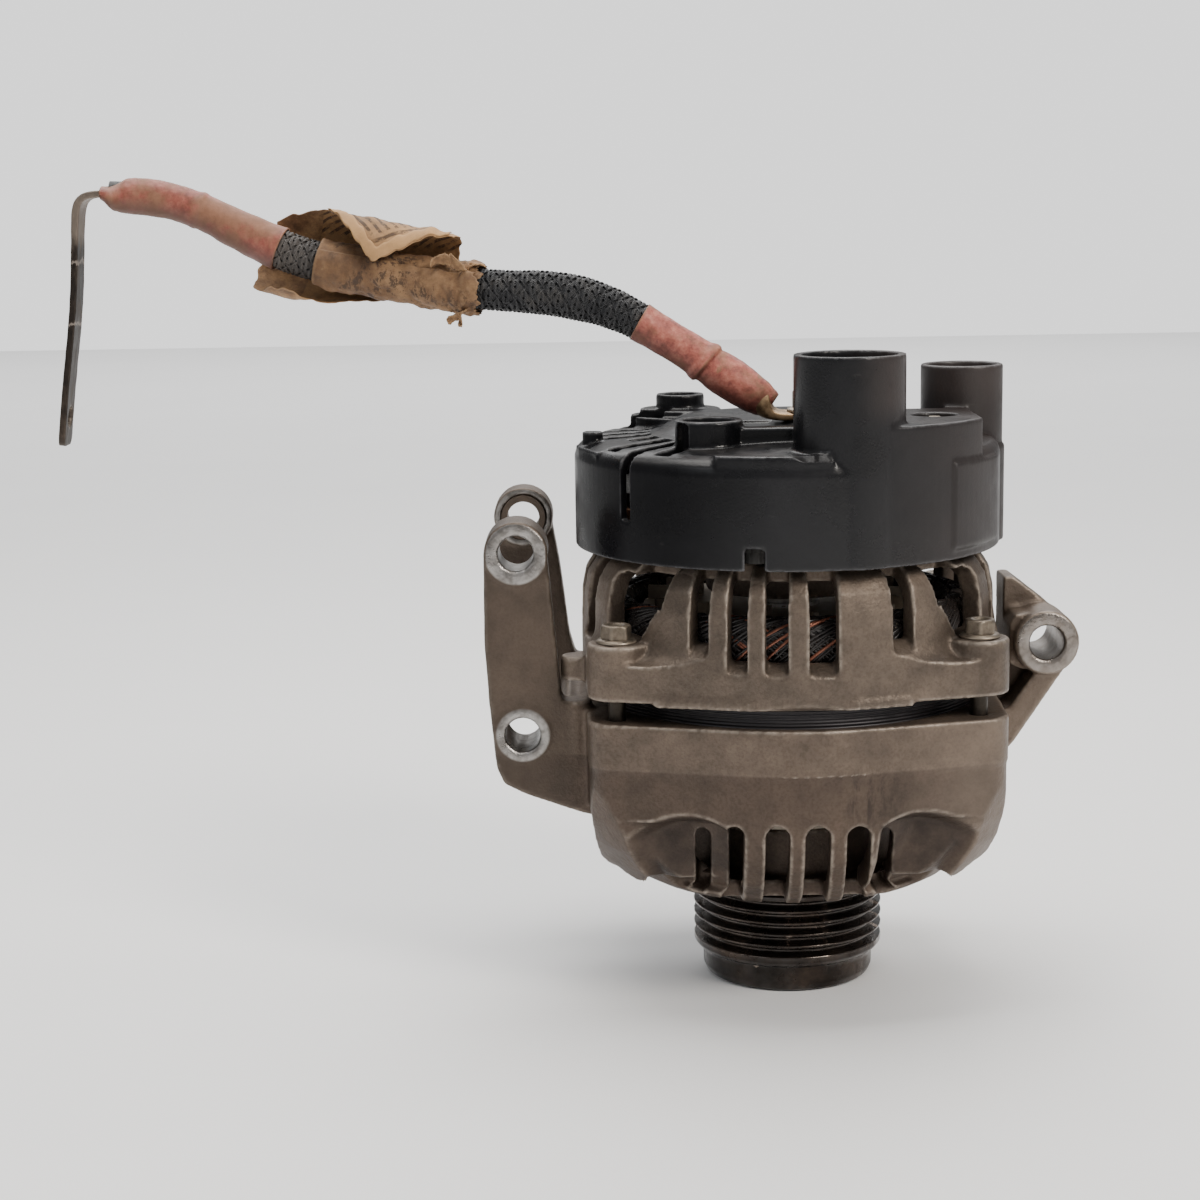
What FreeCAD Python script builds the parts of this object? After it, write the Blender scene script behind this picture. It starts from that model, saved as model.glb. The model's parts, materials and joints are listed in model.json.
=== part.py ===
import FreeCAD, Part
import math
import os
import re

# Car alternator, standing on its pulley.
# Z is the rotor shaft, Z = 0 is the outer face of the pulley, +X is the side of
# the single mounting ear, -Y is the side with the two wide windows' bolt seats.

V = FreeCAD.Vector
os.makedirs("parts", exist_ok=True)
doc = FreeCAD.newDocument("alternator")

# ---------------------------------------------------------------- dimensions
DIMS = [
    ("house_rad", 61.5, "outer radius of both housings"),
    ("band_step", 0.4, "step at the front housing's parting line"),
    ("bolt_px", 51.6, "through bolt position, X"),
    ("bolt_py", 41.6, "through bolt position, Y"),
    ("boss_rad", 8.4, "radius of the bolt bosses"),
    ("stator_rad", 57.5, "stator core outer radius"),
    ("stator_bore", 44.0, "stator core bore radius"),
    ("stator_lo", 72.0, "stator core, lower face"),
    ("stator_hi", 106.0, "stator core, upper face"),
    ("front_lo", 33.5, "front housing, nose"),
    ("front_hi", 88.2, "front housing, open rim"),
    ("rear_lo", 94.6, "rear housing, open rim"),
    ("band_hi", 105.4, "rear housing, top of the plain band"),
    ("seat_hi", 110.5, "rear housing, bolt seat"),
    ("rear_hi", 134.0, "rear housing, end face"),
    ("cover_rad", 62.9, "cover outer radius"),
    ("cover_wall", 2.6, "cover wall"),
    ("cover_lo", 133.2, "cover, lower edge"),
    ("cover_rim", 163.6, "cover, shoulder height"),
    ("cover_top", 170.0, "cover, plateau height"),
    ("block_hi", 172.0, "cover, raised block"),
    ("tower_px", 14.0, "main socket position, X"),
    ("tower_py", -46.2, "main socket position, Y"),
    ("tower_rad", 15.6, "main socket outer radius"),
    ("tower_hi", 191.5, "main socket height"),
    ("post_px", 53.3, "second socket position, X"),
    ("post_py", 8.0, "second socket position, Y"),
    ("post_rad", 12.2, "second socket outer radius"),
    ("post_hi", 184.2, "second socket height"),
    ("crest_rad", 28.6, "pulley rib crest radius"),
    ("groove_rad", 26.0, "pulley groove root radius"),
    ("groove_pitch", 3.56, "belt rib pitch"),
    ("groove_one", 13.3, "middle of the first groove"),
    ("collar_rad", 25.8, "pulley collar radius"),
    ("pulley_len", 31.0, "pulley ring length"),
    ("pulley_bore", 20.2, "pulley ring bore radius"),
    ("hub_rad", 15.6, "clutch hub radius"),
    ("roller_rad", 2.2, "clutch roller radius"),
    ("shaft_thread", 8.0, "shaft radius in the clutch hub"),
    ("shaft_front", 8.5, "shaft radius in the front bearing"),
    ("shaft_core", 10.0, "shaft radius in the rotor core"),
    ("shaft_rear", 7.5, "shaft radius in the rear bearing"),
    ("shaft_ring", 6.0, "shaft radius under the slip rings"),
    ("fbear_rad", 23.5, "front bearing outer radius"),
    ("fbear_lo", 38.0, "front bearing, lower face"),
    ("fbear_hi", 52.0, "front bearing, upper face"),
    ("rbear_rad", 17.5, "rear bearing outer radius"),
    ("rbear_lo", 121.0, "rear bearing, lower face"),
    ("rbear_hi", 132.0, "rear bearing, upper face"),
    ("rotor_rad", 43.5, "claw pole radius"),
    ("rotor_lo", 64.0, "rotor, lower face"),
    ("rotor_hi", 112.0, "rotor, upper face"),
    ("rotor_mid", 88.0, "rotor, middle"),
    ("slip_rad", 8.5, "slip ring radius"),
    ("brush_out", 22.0, "outer end of a brush"),
    ("bolt_rad", 2.5, "through bolt shank radius"),
    ("bolt_flange", 5.8, "through bolt flange radius"),
    ("bolt_hex", 4.62, "through bolt head, corner radius"),
    ("lug_px", -80.0, "pivot bore position, X"),
    ("lug_pz", 134.6, "pivot bore position, Z"),
    ("low_px", -79.0, "lower bore position, X"),
    ("low_pz", 81.2, "lower bore position, Z"),
    ("ear_px", 75.0, "ear bore position, X"),
    ("ear_pz", 104.0, "ear bore position, Z"),
    ("bore_rad", 5.1, "mounting bore radius"),
    ("near_lo", -30.0, "near plate of the bracket, outer face"),
    ("near_hi", -20.5, "near plate of the bracket, inner face"),
    ("far_lo", 49.5, "far plate of the bracket, inner face"),
    ("far_hi", 58.0, "far plate of the bracket, outer face"),
    ("stud_px", 7.2, "output stud position, X"),
    ("stud_py", -20.0, "output stud position, Y"),
    ("stud_rad", 4.0, "output stud radius"),
    ("cable_rad", 3.9, "cable radius over its insulation"),
    ("sleeve_rad", 5.8, "braided sleeve radius"),
    ("shrink_rad", 5.2, "heat-shrink radius"),
]
dims = doc.addObject("Spreadsheet::Sheet", "dims")
for row, (alias, value, words) in enumerate(DIMS, 1):
    dims.set("A%d" % row, words)
    dims.set("B%d" % row, str(value))
    dims.setAlias("B%d" % row, alias)
doc.recompute()
D = {alias: value for alias, value, words in DIMS}
WORD = re.compile(r"\b(" + "|".join(sorted(D, key=len, reverse=True)) + r")\b")


def put(obj, prop, value):
    """Give a property a number, or bind it to an expression on the sheet."""
    if isinstance(value, str):
        obj.setExpression(prop, WORD.sub(r"dims.\1", value))
    else:
        head, _, tail = prop.partition(".")
        if tail:
            place = obj.Placement
            setattr(place.Base, tail.split(".")[1], value)
            obj.Placement = FreeCAD.Placement(place.Base, place.Rotation)
        else:
            setattr(obj, prop, value)


count = [0]


def fresh(kind, name):
    count[0] += 1
    return doc.addObject(kind, "%s_%d" % (name, count[0]))


def where(obj, x, y, z, rotation=None):
    if rotation is not None:
        obj.Placement = FreeCAD.Placement(V(0, 0, 0), rotation)
    for axis, value in (("x", x), ("y", y), ("z", z)):
        put(obj, "Placement.Base." + axis, value)
    return obj


def box(x0, x1, y0, y1, z0, z1, name="block"):
    o = fresh("Part::Box", name)
    put(o, "Length", "(%s)-(%s)" % (x1, x0))
    put(o, "Width", "(%s)-(%s)" % (y1, y0))
    put(o, "Height", "(%s)-(%s)" % (z1, z0))
    return where(o, str(x0), str(y0), str(z0))


def spoke(angle, r0, r1, width, z0, z1, name="spoke"):
    """A box that runs outward from radius r0 to r1 at an angle about Z."""
    o = fresh("Part::Box", name)
    put(o, "Length", "(%s)-(%s)" % (r1, r0))
    put(o, "Width", str(width))
    put(o, "Height", "(%s)-(%s)" % (z1, z0))
    c, s = math.cos(math.radians(angle)), math.sin(math.radians(angle))
    return where(o, "(%s)*(%.9f)+(%s)/2*(%.9f)" % (r0, c, width, s),
                 "(%s)*(%.9f)-(%s)/2*(%.9f)" % (r0, s, width, c), str(z0),
                 FreeCAD.Rotation(V(0, 0, 1), angle))


def cyl(x, y, z0, z1, r, name="round"):
    o = fresh("Part::Cylinder", name)
    put(o, "Radius", str(r))
    put(o, "Height", "(%s)-(%s)" % (z1, z0))
    return where(o, str(x), str(y), str(z0))


def ycyl(x, z, y0, y1, r, name="cross_round"):
    """A cylinder along Y."""
    o = fresh("Part::Cylinder", name)
    put(o, "Radius", str(r))
    put(o, "Height", "(%s)-(%s)" % (y1, y0))
    return where(o, str(x), str(y0), str(z), FreeCAD.Rotation(V(1, 0, 0), -90))


def cone(x, y, z0, z1, r0, r1, name="taper"):
    o = fresh("Part::Cone", name)
    put(o, "Radius1", str(r0))
    put(o, "Radius2", str(r1))
    put(o, "Height", "(%s)-(%s)" % (z1, z0))
    return where(o, str(x), str(y), str(z0))


def ring(z0, z1, r0, r1, x=0, y=0, name="ring"):
    return cut(cyl(x, y, z0, z1, r1, name), [cyl(x, y, "(%s)-1" % z0, "(%s)+1" % z1, r0)], name)


def hexagon(x, y, z0, z1, corner, name="hex"):
    o = fresh("Part::Prism", name)
    o.Polygon = 6
    put(o, "Circumradius", str(corner))
    put(o, "Height", "(%s)-(%s)" % (z1, z0))
    return where(o, str(x), str(y), str(z0))


def fuse(shapes, name="joined", refine=True):
    if len(shapes) == 1:
        return shapes[0]
    o = fresh("Part::MultiFuse", name)
    o.Shapes = shapes
    o.Refine = refine
    return o


def group(shapes, name="set"):
    """Separate solids kept side by side in one object."""
    if len(shapes) == 1:
        return shapes[0]
    o = fresh("Part::Compound", name)
    o.Links = shapes
    return o


def cut(base, tools, name="cut"):
    o = fresh("Part::Cut", name)
    o.Base = base
    o.Tool = tools[0] if len(tools) == 1 else group(tools) if name == "apart" else fuse(tools, refine=False)
    o.Refine = True
    return o


def common(a, b, name="kept"):
    o = fresh("Part::MultiCommon", name)
    o.Shapes = [a, b]
    return o


def plane(body, role):
    return [f for f in body.Origin.OriginFeatures if f.Role == role][0]


def outline(body, name, role, points, offset=None):
    """A closed polygon whose corners are held from the origin by constraints."""
    import Sketcher
    sk = body.newObject("Sketcher::SketchObject", name)
    sk.AttachmentSupport = (plane(body, role), [""])
    sk.MapMode = "FlatFace"
    if offset is not None:
        sk.setExpression("AttachmentOffset.Base.z", WORD.sub(r"dims.\1", str(offset)))
    n = len(points)
    vals = [tuple(float(number_of(c)) for c in p) for p in points]
    for i in range(n):
        a, b = vals[i], vals[(i + 1) % n]
        sk.addGeometry(Part.LineSegment(V(a[0], a[1], 0), V(b[0], b[1], 0)), False)
    for i in range(n):
        sk.addConstraint(Sketcher.Constraint("Coincident", i, 2, (i + 1) % n, 1))
    for i, p in enumerate(points):
        for kind, value, word in (("DistanceX", vals[i][0], p[0]), ("DistanceY", vals[i][1], p[1])):
            k = sk.addConstraint(Sketcher.Constraint(kind, -1, 1, i, 1, value))
            if isinstance(word, str) and WORD.search(word):
                sk.setExpression("Constraints[%d]" % k, WORD.sub(r"dims.\1", word))
    return sk


def number_of(value):
    """The number that a word of the sheet, or a sum of words, stands for."""
    if not isinstance(value, str):
        return value
    total = 0.0
    for sign, word in re.findall(r"([+-]?)\s*([A-Za-z_]\w*|\d+\.?\d*)", value):
        number = D[word] if word in D else float(word)
        total += -number if sign == "-" else number
    return total


def turned(name, points, angle=360.0):
    """A solid of revolution about Z; points are (radius, height)."""
    body = fresh("PartDesign::Body", name)
    sk = outline(body, name + "_profile_%d" % count[0], "XZ_Plane", points)
    rev = body.newObject("PartDesign::Revolution", name + "_turned_%d" % count[0])
    rev.Profile = sk
    rev.ReferenceAxis = (sk, ["V_Axis"])
    rev.Angle = angle
    body.Tip = rev
    return body


def padded_xy(name, points, z0, z1):
    """A polygon in plan, raised from z0 to z1."""
    body = fresh("PartDesign::Body", name)
    sk = outline(body, name + "_plan_%d" % count[0], "XY_Plane", points, z0)
    pad = body.newObject("PartDesign::Pad", name + "_pad_%d" % count[0])
    pad.Profile = sk
    put(pad, "Length", "(%s)-(%s)" % (z1, z0))
    body.Tip = pad
    return body


def padded_xz(name, points, y0, y1):
    """A polygon seen from the side, (x, z), carried from y0 to y1."""
    body = fresh("PartDesign::Body", name)
    sk = outline(body, name + "_side_%d" % count[0], "XZ_Plane", points, "-(%s)" % y1)
    pad = body.newObject("PartDesign::Pad", name + "_pad_%d" % count[0])
    pad.Profile = sk
    put(pad, "Length", "(%s)-(%s)" % (y1, y0))
    body.Tip = pad
    return body


NODES = []


def node(obj, label):
    obj.Label = label
    NODES.append(obj)
    return obj


# ---------------------------------------------------------------- plan outline
CORNERS = [(1, -1), (1, 1), (-1, 1), (-1, -1)]


def hull(name, rad, boss, z0, z1):
    """Tangent flats between the round housing and its four bolt bosses."""
    px, py = D["bolt_px"], D["bolt_py"]
    dist, phi = math.hypot(px, py), math.atan2(py, px)
    delta = math.acos((rad - boss) / dist)
    pts = []
    for turn, (sx, sy) in enumerate(CORNERS):
        cx, cy = sx * px, sy * py
        mid = math.atan2(cy, cx)
        for side in (-1, 1):
            a = mid + side * delta
            n = (math.cos(a), math.sin(a))
            ring_pt = (rad * n[0], rad * n[1])
            boss_pt = (cx + boss * n[0], cy + boss * n[1])
            pts += [ring_pt, boss_pt] if side < 0 else [boss_pt, ring_pt]
    order = []
    for p in pts:
        order.append((round(p[0], 5), round(p[1], 5)))
    return padded_xy(name, order, z0, z1)


def bosses(z0, z1, r):
    return [cyl("%d*bolt_px" % sx, "%d*bolt_py" % sy, z0, z1, r, "bolt_boss") for sx, sy in CORNERS]


# ---------------------------------------------------------------- front housing
dome = turned("front_dome", [
    (0, "front_lo+1"), (34, "front_lo+1"), (36, "front_lo"), (44.5, "front_lo+0.2"), (49.5, 36.4), (54.5, 41.2),
    (58.6, 48.5), (60.6, 55.5), ("house_rad-band_step", 62), ("house_rad-band_step", 75), ("house_rad", 75.5),
    ("house_rad", "front_hi"), (0, "front_hi")])
front_body = fuse([
    dome,
    hull("front_low_flats", D["house_rad"] - D["band_step"], D["boss_rad"] - D["band_step"], 60, 75),
    hull("front_high_flats", D["house_rad"], D["boss_rad"], 75, "front_hi"),
    hull("front_shoulder_flats", 50.0, D["boss_rad"] - D["band_step"], 42, 60),
] + bosses(38, 75, "boss_rad-band_step") + bosses(75, "front_hi", "boss_rad"), "front_outer")
envelope = turned("front_envelope", [
    (0, 30), (47, 32), (52, 34.4), (58, 38), (63.5, 44), (68, 50.5), (71.4, 58), (74, 67), (75.4, 75.2), (75.4, 92),
    (0, 92)])
front_body = common(front_body, envelope, "front_rounded")

# two-plate bracket on the left, with its web, and the ear on the right
near_plate = padded_xz("near_plate", [
    (-89.3, 134.6), (-89.7, 109), (-88.6, 90), (-86.9, 71.5), (-84.8, 66.6), (-79.0, 63.6), (-63.4, 57.9), (-54, 55.5),
    (-54, 88), (-65.6, 88.8), (-67.6, 92), (-69.3, 112), (-71.2, 134.6)], "near_lo", "near_hi")
far_plate = padded_xz("far_plate", [
    (-88.6, 134.6), (-88.4, 109), (-86.5, 80), (-82, 70), (-63, 60), (-54, 58),
    (-54, 88), (-64.0, 89), (-66.0, 96), (-68.6, 118), (-71.4, 134.6)], "far_lo", "far_hi")
left_web = padded_xz("bracket_web", [
    (-68.6, 62.2), (-62.5, 59.4), (-54, 57.0), (-54, 87.6), (-63.8, 87.6), (-66.4, 88.6), (-68.6, 84)], "near_hi-0.5", "far_lo+0.5")
near_boss = ycyl("lug_px", "lug_pz", "near_lo-0.8", "near_hi+5", 9.2, "near_pivot_boss")
far_boss = ycyl("lug_px", "lug_pz", "far_lo-3.5", "far_hi", 9.4, "far_pivot_boss")
low_boss = ycyl("low_px", "low_pz", "near_lo-0.6", -6, 7.9, "lower_boss")
low_link = box(-79, -62, -20.6, -8, 76, 86, "lower_boss_rib")
ear_boss = ycyl("ear_px", "ear_pz", -20, -3, 9.5, "ear_boss")
ear_strut = padded_xz("ear_strut", [
    (56, 60), (61.4, 68.6), (66.0, 73.6), (84.3, 101.0), (75, 104), (72.4, 95.4), (64.9, 84.4), (56, 80)], -17, -4)
ear_link = padded_xz("ear_link", [(64.6, 97.2), (68.5, 95.4), (75, 95.5), (75, 112.6), (66.4, 112.0), (64.6, 109)], -16, -4)
ear_web = padded_xz("ear_web", [
    (54, 62), (61.0, 66.0), (66.2, 73.8), (83.6, 99.6), (84.2, 106), (78.4, 112.9), (67.6, 121.4), (64.6, 121.4),
    (64.6, 92), (62.6, 87.6), (54, 87.6)], -4.4, 10)
front_lug = cyl(-63.4, -25.6, 75, 91, 4.7, "front_lug")
front_lug_link = box(-63.4, -55, -30, -21.4, 75, 88, "front_lug_link")
front_body = fuse([front_body, near_plate, far_plate, left_web, near_boss, far_boss, low_boss, low_link, ear_boss,
                   ear_strut, ear_link, ear_web, front_lug, front_lug_link], "front_casting")

front_cavity = turned("front_cavity", [
    ("stator_rad+0.1", 93), ("stator_rad+0.1", "stator_lo"), (55.5, "stator_lo"), (55.5, 60), (54.0, 53), (50.4, 46),
    (45, 41), (40, 38.5), (33, 38.5), (33, "fbear_hi"), ("fbear_rad+0.02", "fbear_hi"), ("fbear_rad+0.02", "fbear_lo"),
    (14, "fbear_lo"), (14, 30), (0, 30), (0, 93)])
slots = []
for mid, wide, top in ((-29.9, 4.4, 57.6), (-19.2, 5.4, 60.2), (-7.2, 6.7, 60.6), (4.1, 7.0, 60.6), (15.7, 6.8, 60.0),
                       (25.6, 5.7, 57.2)):
    slots.append(box(mid - wide / 2, mid + wide / 2, -70, -37.2, 32, top - wide / 2, "front_slot"))
    slots.append(ycyl(mid, top - wide / 2, -70, -37.2, wide / 2, "front_slot_top"))
for side, turns in ((90, (-30, -19, -7.5, 4.5, 16, 27)), (0, (-24, -12, 0, 12, 24)), (180, (-24, -12, 0, 12, 24))):
    for turn in turns:
        slots.append(spoke(side + turn, 36.5, 70, 6.2, 32, 55, "side_slot"))
bolt_threads = [cyl("%d*bolt_px" % sx, "%d*bolt_py" % sy, 60, 93, "bolt_rad", "bolt_thread") for sx, sy in CORNERS]
retainer_threads = [cyl(round(28 * math.cos(math.radians(a)), 5), round(28 * math.sin(math.radians(a)), 5), 42,
                        "fbear_hi+1", 2.0, "retainer_thread") for a in (45, 135, 225, 315)]
mount_holes = [
    ycyl("lug_px", "lug_pz", -35, -10, "bore_rad"), ycyl("lug_px", "lug_pz", 40, 62, "bore_rad+1.9"),
    ycyl("low_px", "low_pz", -35, 0, "bore_rad"), ycyl("ear_px", "ear_pz", -25, 12, "bore_rad"),
]
front_housing = node(cut(front_body, [front_cavity] + slots + bolt_threads + retainer_threads + mount_holes,
                         "front_housing"), "front_housing")
node(cut(ycyl("lug_px", "lug_pz", "far_lo-4.5", "far_hi", "bore_rad+1.88", "pivot_bush"),
         [ycyl("lug_px", "lug_pz", 40, 62, "bore_rad")]), "pivot_bushing")

# ---------------------------------------------------------------- rear housing
bell = turned("rear_bell", [
    (0, "rear_lo"), ("house_rad", "rear_lo"), ("house_rad", 108), (61.2, 120), (60.0, 126), (57.0, 130.6),
    (52.5, 133.2), (49, "rear_hi"), (0, "rear_hi")])
rear_body = [bell, hull("rear_band", D["house_rad"], D["boss_rad"], "rear_lo", "band_hi")]
rear_body += bosses("rear_lo", "seat_hi", "boss_rad")
for sx, sy in CORNERS:
    # each bolt seat runs back into the bell, with a sloping gusset beside it
    rear_body.append(spoke(math.degrees(math.atan2(sy * 41.6, sx * 51.6)), 55, 66.3, "boss_rad*2", "rear_lo", "seat_hi", "seat_link"))
# a concave sweep carries the bell down on to the wider band
sweep = turned("ledge_sweep", [(40, 104), (68, 104), (67.2, 105.4), (64.6, 106.1), (62.9, 107.6), (61.9, 110.0), (61.3, 113.5), (40, 113.5)])
rear_body.append(common(sweep, hull("ledge_plan", D["house_rad"], D["boss_rad"], 104, 113.5), "ledge"))
lip = common(hull("rear_lip_plan", D["house_rad"] + 0.7, D["boss_rad"] + 0.7, 93.8, 96.2),
             box(-41, 31, -70, -45, 93, 97, "lip_span"), "rear_lip")
rear_lug = cyl(-63.2, -25.6, 97, 104, 4.5, "rear_lug")
rear_lug_link = box(-63.4, -55, -30.2, -21.2, 97, 104, "rear_lug_link")
studs_at = ((-24.4, -33.0), (-30.3, 30.0), (41.0, -22.0))
stud_bosses = [cyl(x, y, 131, 137, 5.0, "stud_boss") for x, y in studs_at]
rear_body = fuse(rear_body + [rear_lug, rear_lug_link] + stud_bosses, "rear_outer")
rear_cavity = turned("rear_cavity", [
    ("stator_rad+0.1", 90), ("stator_rad+0.1", "stator_hi"), (55.5, "stator_hi"), (55.5, 120), (54, 125.5), (50.5, 128.6),
    (46, 129.6), (24.2, 129.6), (24.2, 119), (19.02, 119), (19.02, "rbear_hi"), (12.0, "rbear_hi"), (12.0, 136), (0, 136),
    (0, 90)])
windows = []


def leaning(angle, r0, r1, width, z0, z1, lean, name):
    """A box like spoke's, tipped sideways about its own middle line by lean degrees."""
    o = fresh("Part::Box", name)
    put(o, "Length", "(%s)-(%s)" % (r1, r0))
    put(o, "Width", str(width))
    put(o, "Height", "(%s)-(%s)" % (z1, z0))
    turn = FreeCAD.Rotation(V(0, 0, 1), angle).multiply(FreeCAD.Rotation(V(1, 0, 0), lean))
    corner = turn.multVec(V(r0, -width / 2, 0))
    return where(o, round(corner.x, 5), round(corner.y, 5), round(corner.z + z0, 5), turn)


# the windows are open at the top, so the shoulder is left as separate curved fingers
for angle, wide, low in ((-118.0, 5.6, 111.6), (-107.4, 5.5, 107.0), (-97.0, 6.3, 106.8), (-84.6, 8.0, 106.6), (-62.3, 6.6, 111.8),
                         (-176, 6.6, 108), (-163, 6.6, 108), (-17, 6.6, 108), (-4, 6.6, 108), (9, 6.6, 108), (22, 6.6, 108),
                         (158, 6.6, 108), (171, 6.6, 108), (62, 6.6, 108), (74, 6.6, 108), (86, 6.6, 108), (98, 6.6, 108),
                         (110, 6.6, 108), (122, 6.6, 108)):
    windows.append(spoke(angle, 51, 72, wide, low, 136, "window"))
# a wide leaning window behind each bolt seat
for angle, wide, lean, low in ((-143.4, 13.6, -8, 111.0), (-36.6, 13.6, 8, 111.0), (36.6, 12.0, 0, 113.0), (143.4, 12.0, 0, 113.0)):
    windows.append(leaning(angle, 51, 72, wide, low, 128.6, lean, "wide_window"))
for angle, wide in ((-134.6, 10.4), (-45.4, 10.4)):
    windows.append(leaning(angle, 51, 72, wide, 121.0, 136, -8 if angle < -90 else 8, "wide_window_top"))
for angle in range(0, 360, 30):
    windows.append(spoke(angle + 12, 28, 46, 6.5, 128, 136, "end_vent"))
# each front window's sill slopes out and down, which leaves the bright chute seen under it
for angle, wide, low in ((-107.4, 5.5, 103.6), (-97.0, 6.3, 103.2), (-84.6, 8.0, 103.0), (-118.0, 5.6, 108.6), (-62.3, 6.6, 108.8)):
    slope = turned("sill_slope", [(55.2, 130), (55.2, low + 5.0), (61.7, low), (72, low - 5.5), (72, 130)])
    windows.append(common(spoke(angle, 54, 71, wide, 98, 116, "chute_span"), slope, "chute"))
bolt_holes = [cyl("%d*bolt_px" % sx, "%d*bolt_py" % sy, 90, 140, "bolt_rad+0.4", "bolt_hole") for sx, sy in CORNERS]
head_room = [cyl("%d*bolt_px" % sx, "%d*bolt_py" % sy, "seat_hi", 130, "bolt_flange+1.1", "head_room") for sx, sy in CORNERS]
stud_threads = [cyl(x, y, 130.5, 140, 2.5, "stud_thread") for x, y in studs_at]
rear_cut = cut(rear_body, [rear_cavity] + windows + bolt_holes + head_room + stud_threads, "rear_cut")
lip_cut = cut(lip, [cyl(0, 0, 90, 100, "house_rad-1.5")], "rear_lip_ring")
rear_housing = node(fuse([rear_cut, lip_cut], "rear_housing"), "rear_housing")

# ---------------------------------------------------------------- through bolts
bolts = []
for sx, sy in CORNERS:
    bx, by = "%d*bolt_px" % sx, "%d*bolt_py" % sy
    bolts.append(fuse([cyl(bx, by, 62, 111, "bolt_rad-0.02"), cyl(bx, by, "seat_hi", "seat_hi+1.3", "bolt_flange"),
                       hexagon(bx, by, "seat_hi+1.3", "seat_hi+5.2", "bolt_hex")], "through_bolt"))
node(group(bolts, "through_bolts"), "through_bolts")

# ---------------------------------------------------------------- stator
core = fresh("PartDesign::Body", "stator_core")
sk = core.newObject("Sketcher::SketchObject", "core_plan")
sk.AttachmentSupport = (plane(core, "XY_Plane"), [""])
sk.MapMode = "FlatFace"
put_z = "stator_lo"
sk.setExpression("AttachmentOffset.Base.z", "dims.stator_lo")
import Sketcher
sk.addGeometry(Part.Circle(V(0, 0, 0), V(0, 0, 1), D["stator_rad"]), False)
sk.addGeometry(Part.Circle(V(0, 0, 0), V(0, 0, 1), D["stator_bore"]), False)
for i, word in enumerate(("stator_rad", "stator_bore")):
    sk.addConstraint(Sketcher.Constraint("Coincident", i, 3, -1, 1))
    k = sk.addConstraint(Sketcher.Constraint("Radius", i, D[word]))
    sk.setExpression("Constraints[%d]" % k, "dims." + word)
pad = core.newObject("PartDesign::Pad", "core_pad")
pad.Profile = sk
pad.setExpression("Length", "dims.stator_hi-dims.stator_lo")
slot_sk = core.newObject("Sketcher::SketchObject", "core_slot_plan")
slot_sk.AttachmentSupport = (plane(core, "XY_Plane"), [""])
slot_sk.MapMode = "FlatFace"
slot_sk.setExpression("AttachmentOffset.Base.z", "dims.stator_lo")
corners = [(42.0, -1.6), (52.4, -1.6), (52.4, 1.6), (42.0, 1.6)]
for i in range(4):
    a, b = corners[i], corners[(i + 1) % 4]
    slot_sk.addGeometry(Part.LineSegment(V(a[0], a[1], 0), V(b[0], b[1], 0)), False)
for i in range(4):
    slot_sk.addConstraint(Sketcher.Constraint("Coincident", i, 2, (i + 1) % 4, 1))
    slot_sk.addConstraint(Sketcher.Constraint("DistanceX", -1, 1, i, 1, corners[i][0]))
    slot_sk.addConstraint(Sketcher.Constraint("DistanceY", -1, 1, i, 1, corners[i][1]))
doc.recompute()
whole = pad.Shape.Volume
pocket = core.newObject("PartDesign::Pocket", "core_slot")
pocket.Profile = slot_sk
pocket.Type = 0
pocket.Length = 60
pocket.Reversed = True
doc.recompute()
if pocket.Shape.isNull() or abs(pocket.Shape.Volume - whole) < 1:
    pocket.Reversed = False
    doc.recompute()
assert abs(pocket.Shape.Volume - whole) > 1, "the stator slot cuts nothing"
spread = core.newObject("PartDesign::PolarPattern", "core_slots")
spread.Originals = [pocket]
spread.Axis = (sk, ["N_Axis"])
spread.Angle = 360
spread.Occurrences = 36
core.Tip = spread
node(core, "stator_core")

heads = [
    turned("coil_head_front", [(46.6, "stator_lo-0.2"), (45.2, 69), (46.0, 63), (48, 60.8), (51.5, 60.8), (53.6, 63), (54.2, 67),
                               (52.8, "stator_lo-0.2")]),
    turned("coil_head_rear", [(46.6, "stator_hi+0.2"), (45.2, 109), (46.0, 115), (48, 117.6), (51.5, 117.6), (53.6, 115),
                              (54.2, 111), (52.8, "stator_hi+0.2")]),
]
bars = [spoke(10 * i, 46.8, 51.8, 2.8, "stator_lo-1", "stator_hi+1", "slot_winding") for i in range(36)]
node(fuse(heads + bars, "stator_winding", refine=False), "stator_winding")

# ---------------------------------------------------------------- bearings


def z_mid(z0, z1):
    return (number_of(z0) + number_of(z1)) / 2


def races(tag, bore, inner, outer, rad, z0, z1, ball, pitch, balls):
    mid = "(%s+%s)/2" % (z0, z1)
    in_ring = cut(ring(z0, z1, bore, inner), [torus(pitch, ball + 0.05, mid)], tag + "_inner")
    out_ring = cut(ring(z0, z1, outer, rad), [torus(pitch, ball + 0.05, mid)], tag + "_outer")
    rollers = []
    for i in range(balls):
        a = 2 * math.pi * i / balls
        o = fresh("Part::Sphere", tag + "_ball")
        o.Radius = ball
        rollers.append(where(o, round(pitch * math.cos(a), 6), round(pitch * math.sin(a), 6), mid,
                             FreeCAD.Rotation(V(0, 0, 1), math.degrees(a))))
    # a pressed cage holds the balls as one set
    web = turned(tag + "_cage", [(pitch - 0.8, (z_mid(z0, z1) - 1.3)), (pitch + 0.8, (z_mid(z0, z1) - 1.3)),
                                 (pitch + 0.8, (z_mid(z0, z1) + 1.3)), (pitch - 0.8, (z_mid(z0, z1) + 1.3))])
    return in_ring, out_ring, fuse(rollers + [web], tag + "_set", refine=False)


def torus(major, minor, z):
    o = fresh("Part::Torus", "race_groove")
    o.Radius1 = major
    o.Radius2 = minor
    return where(o, 0, 0, z)


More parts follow.
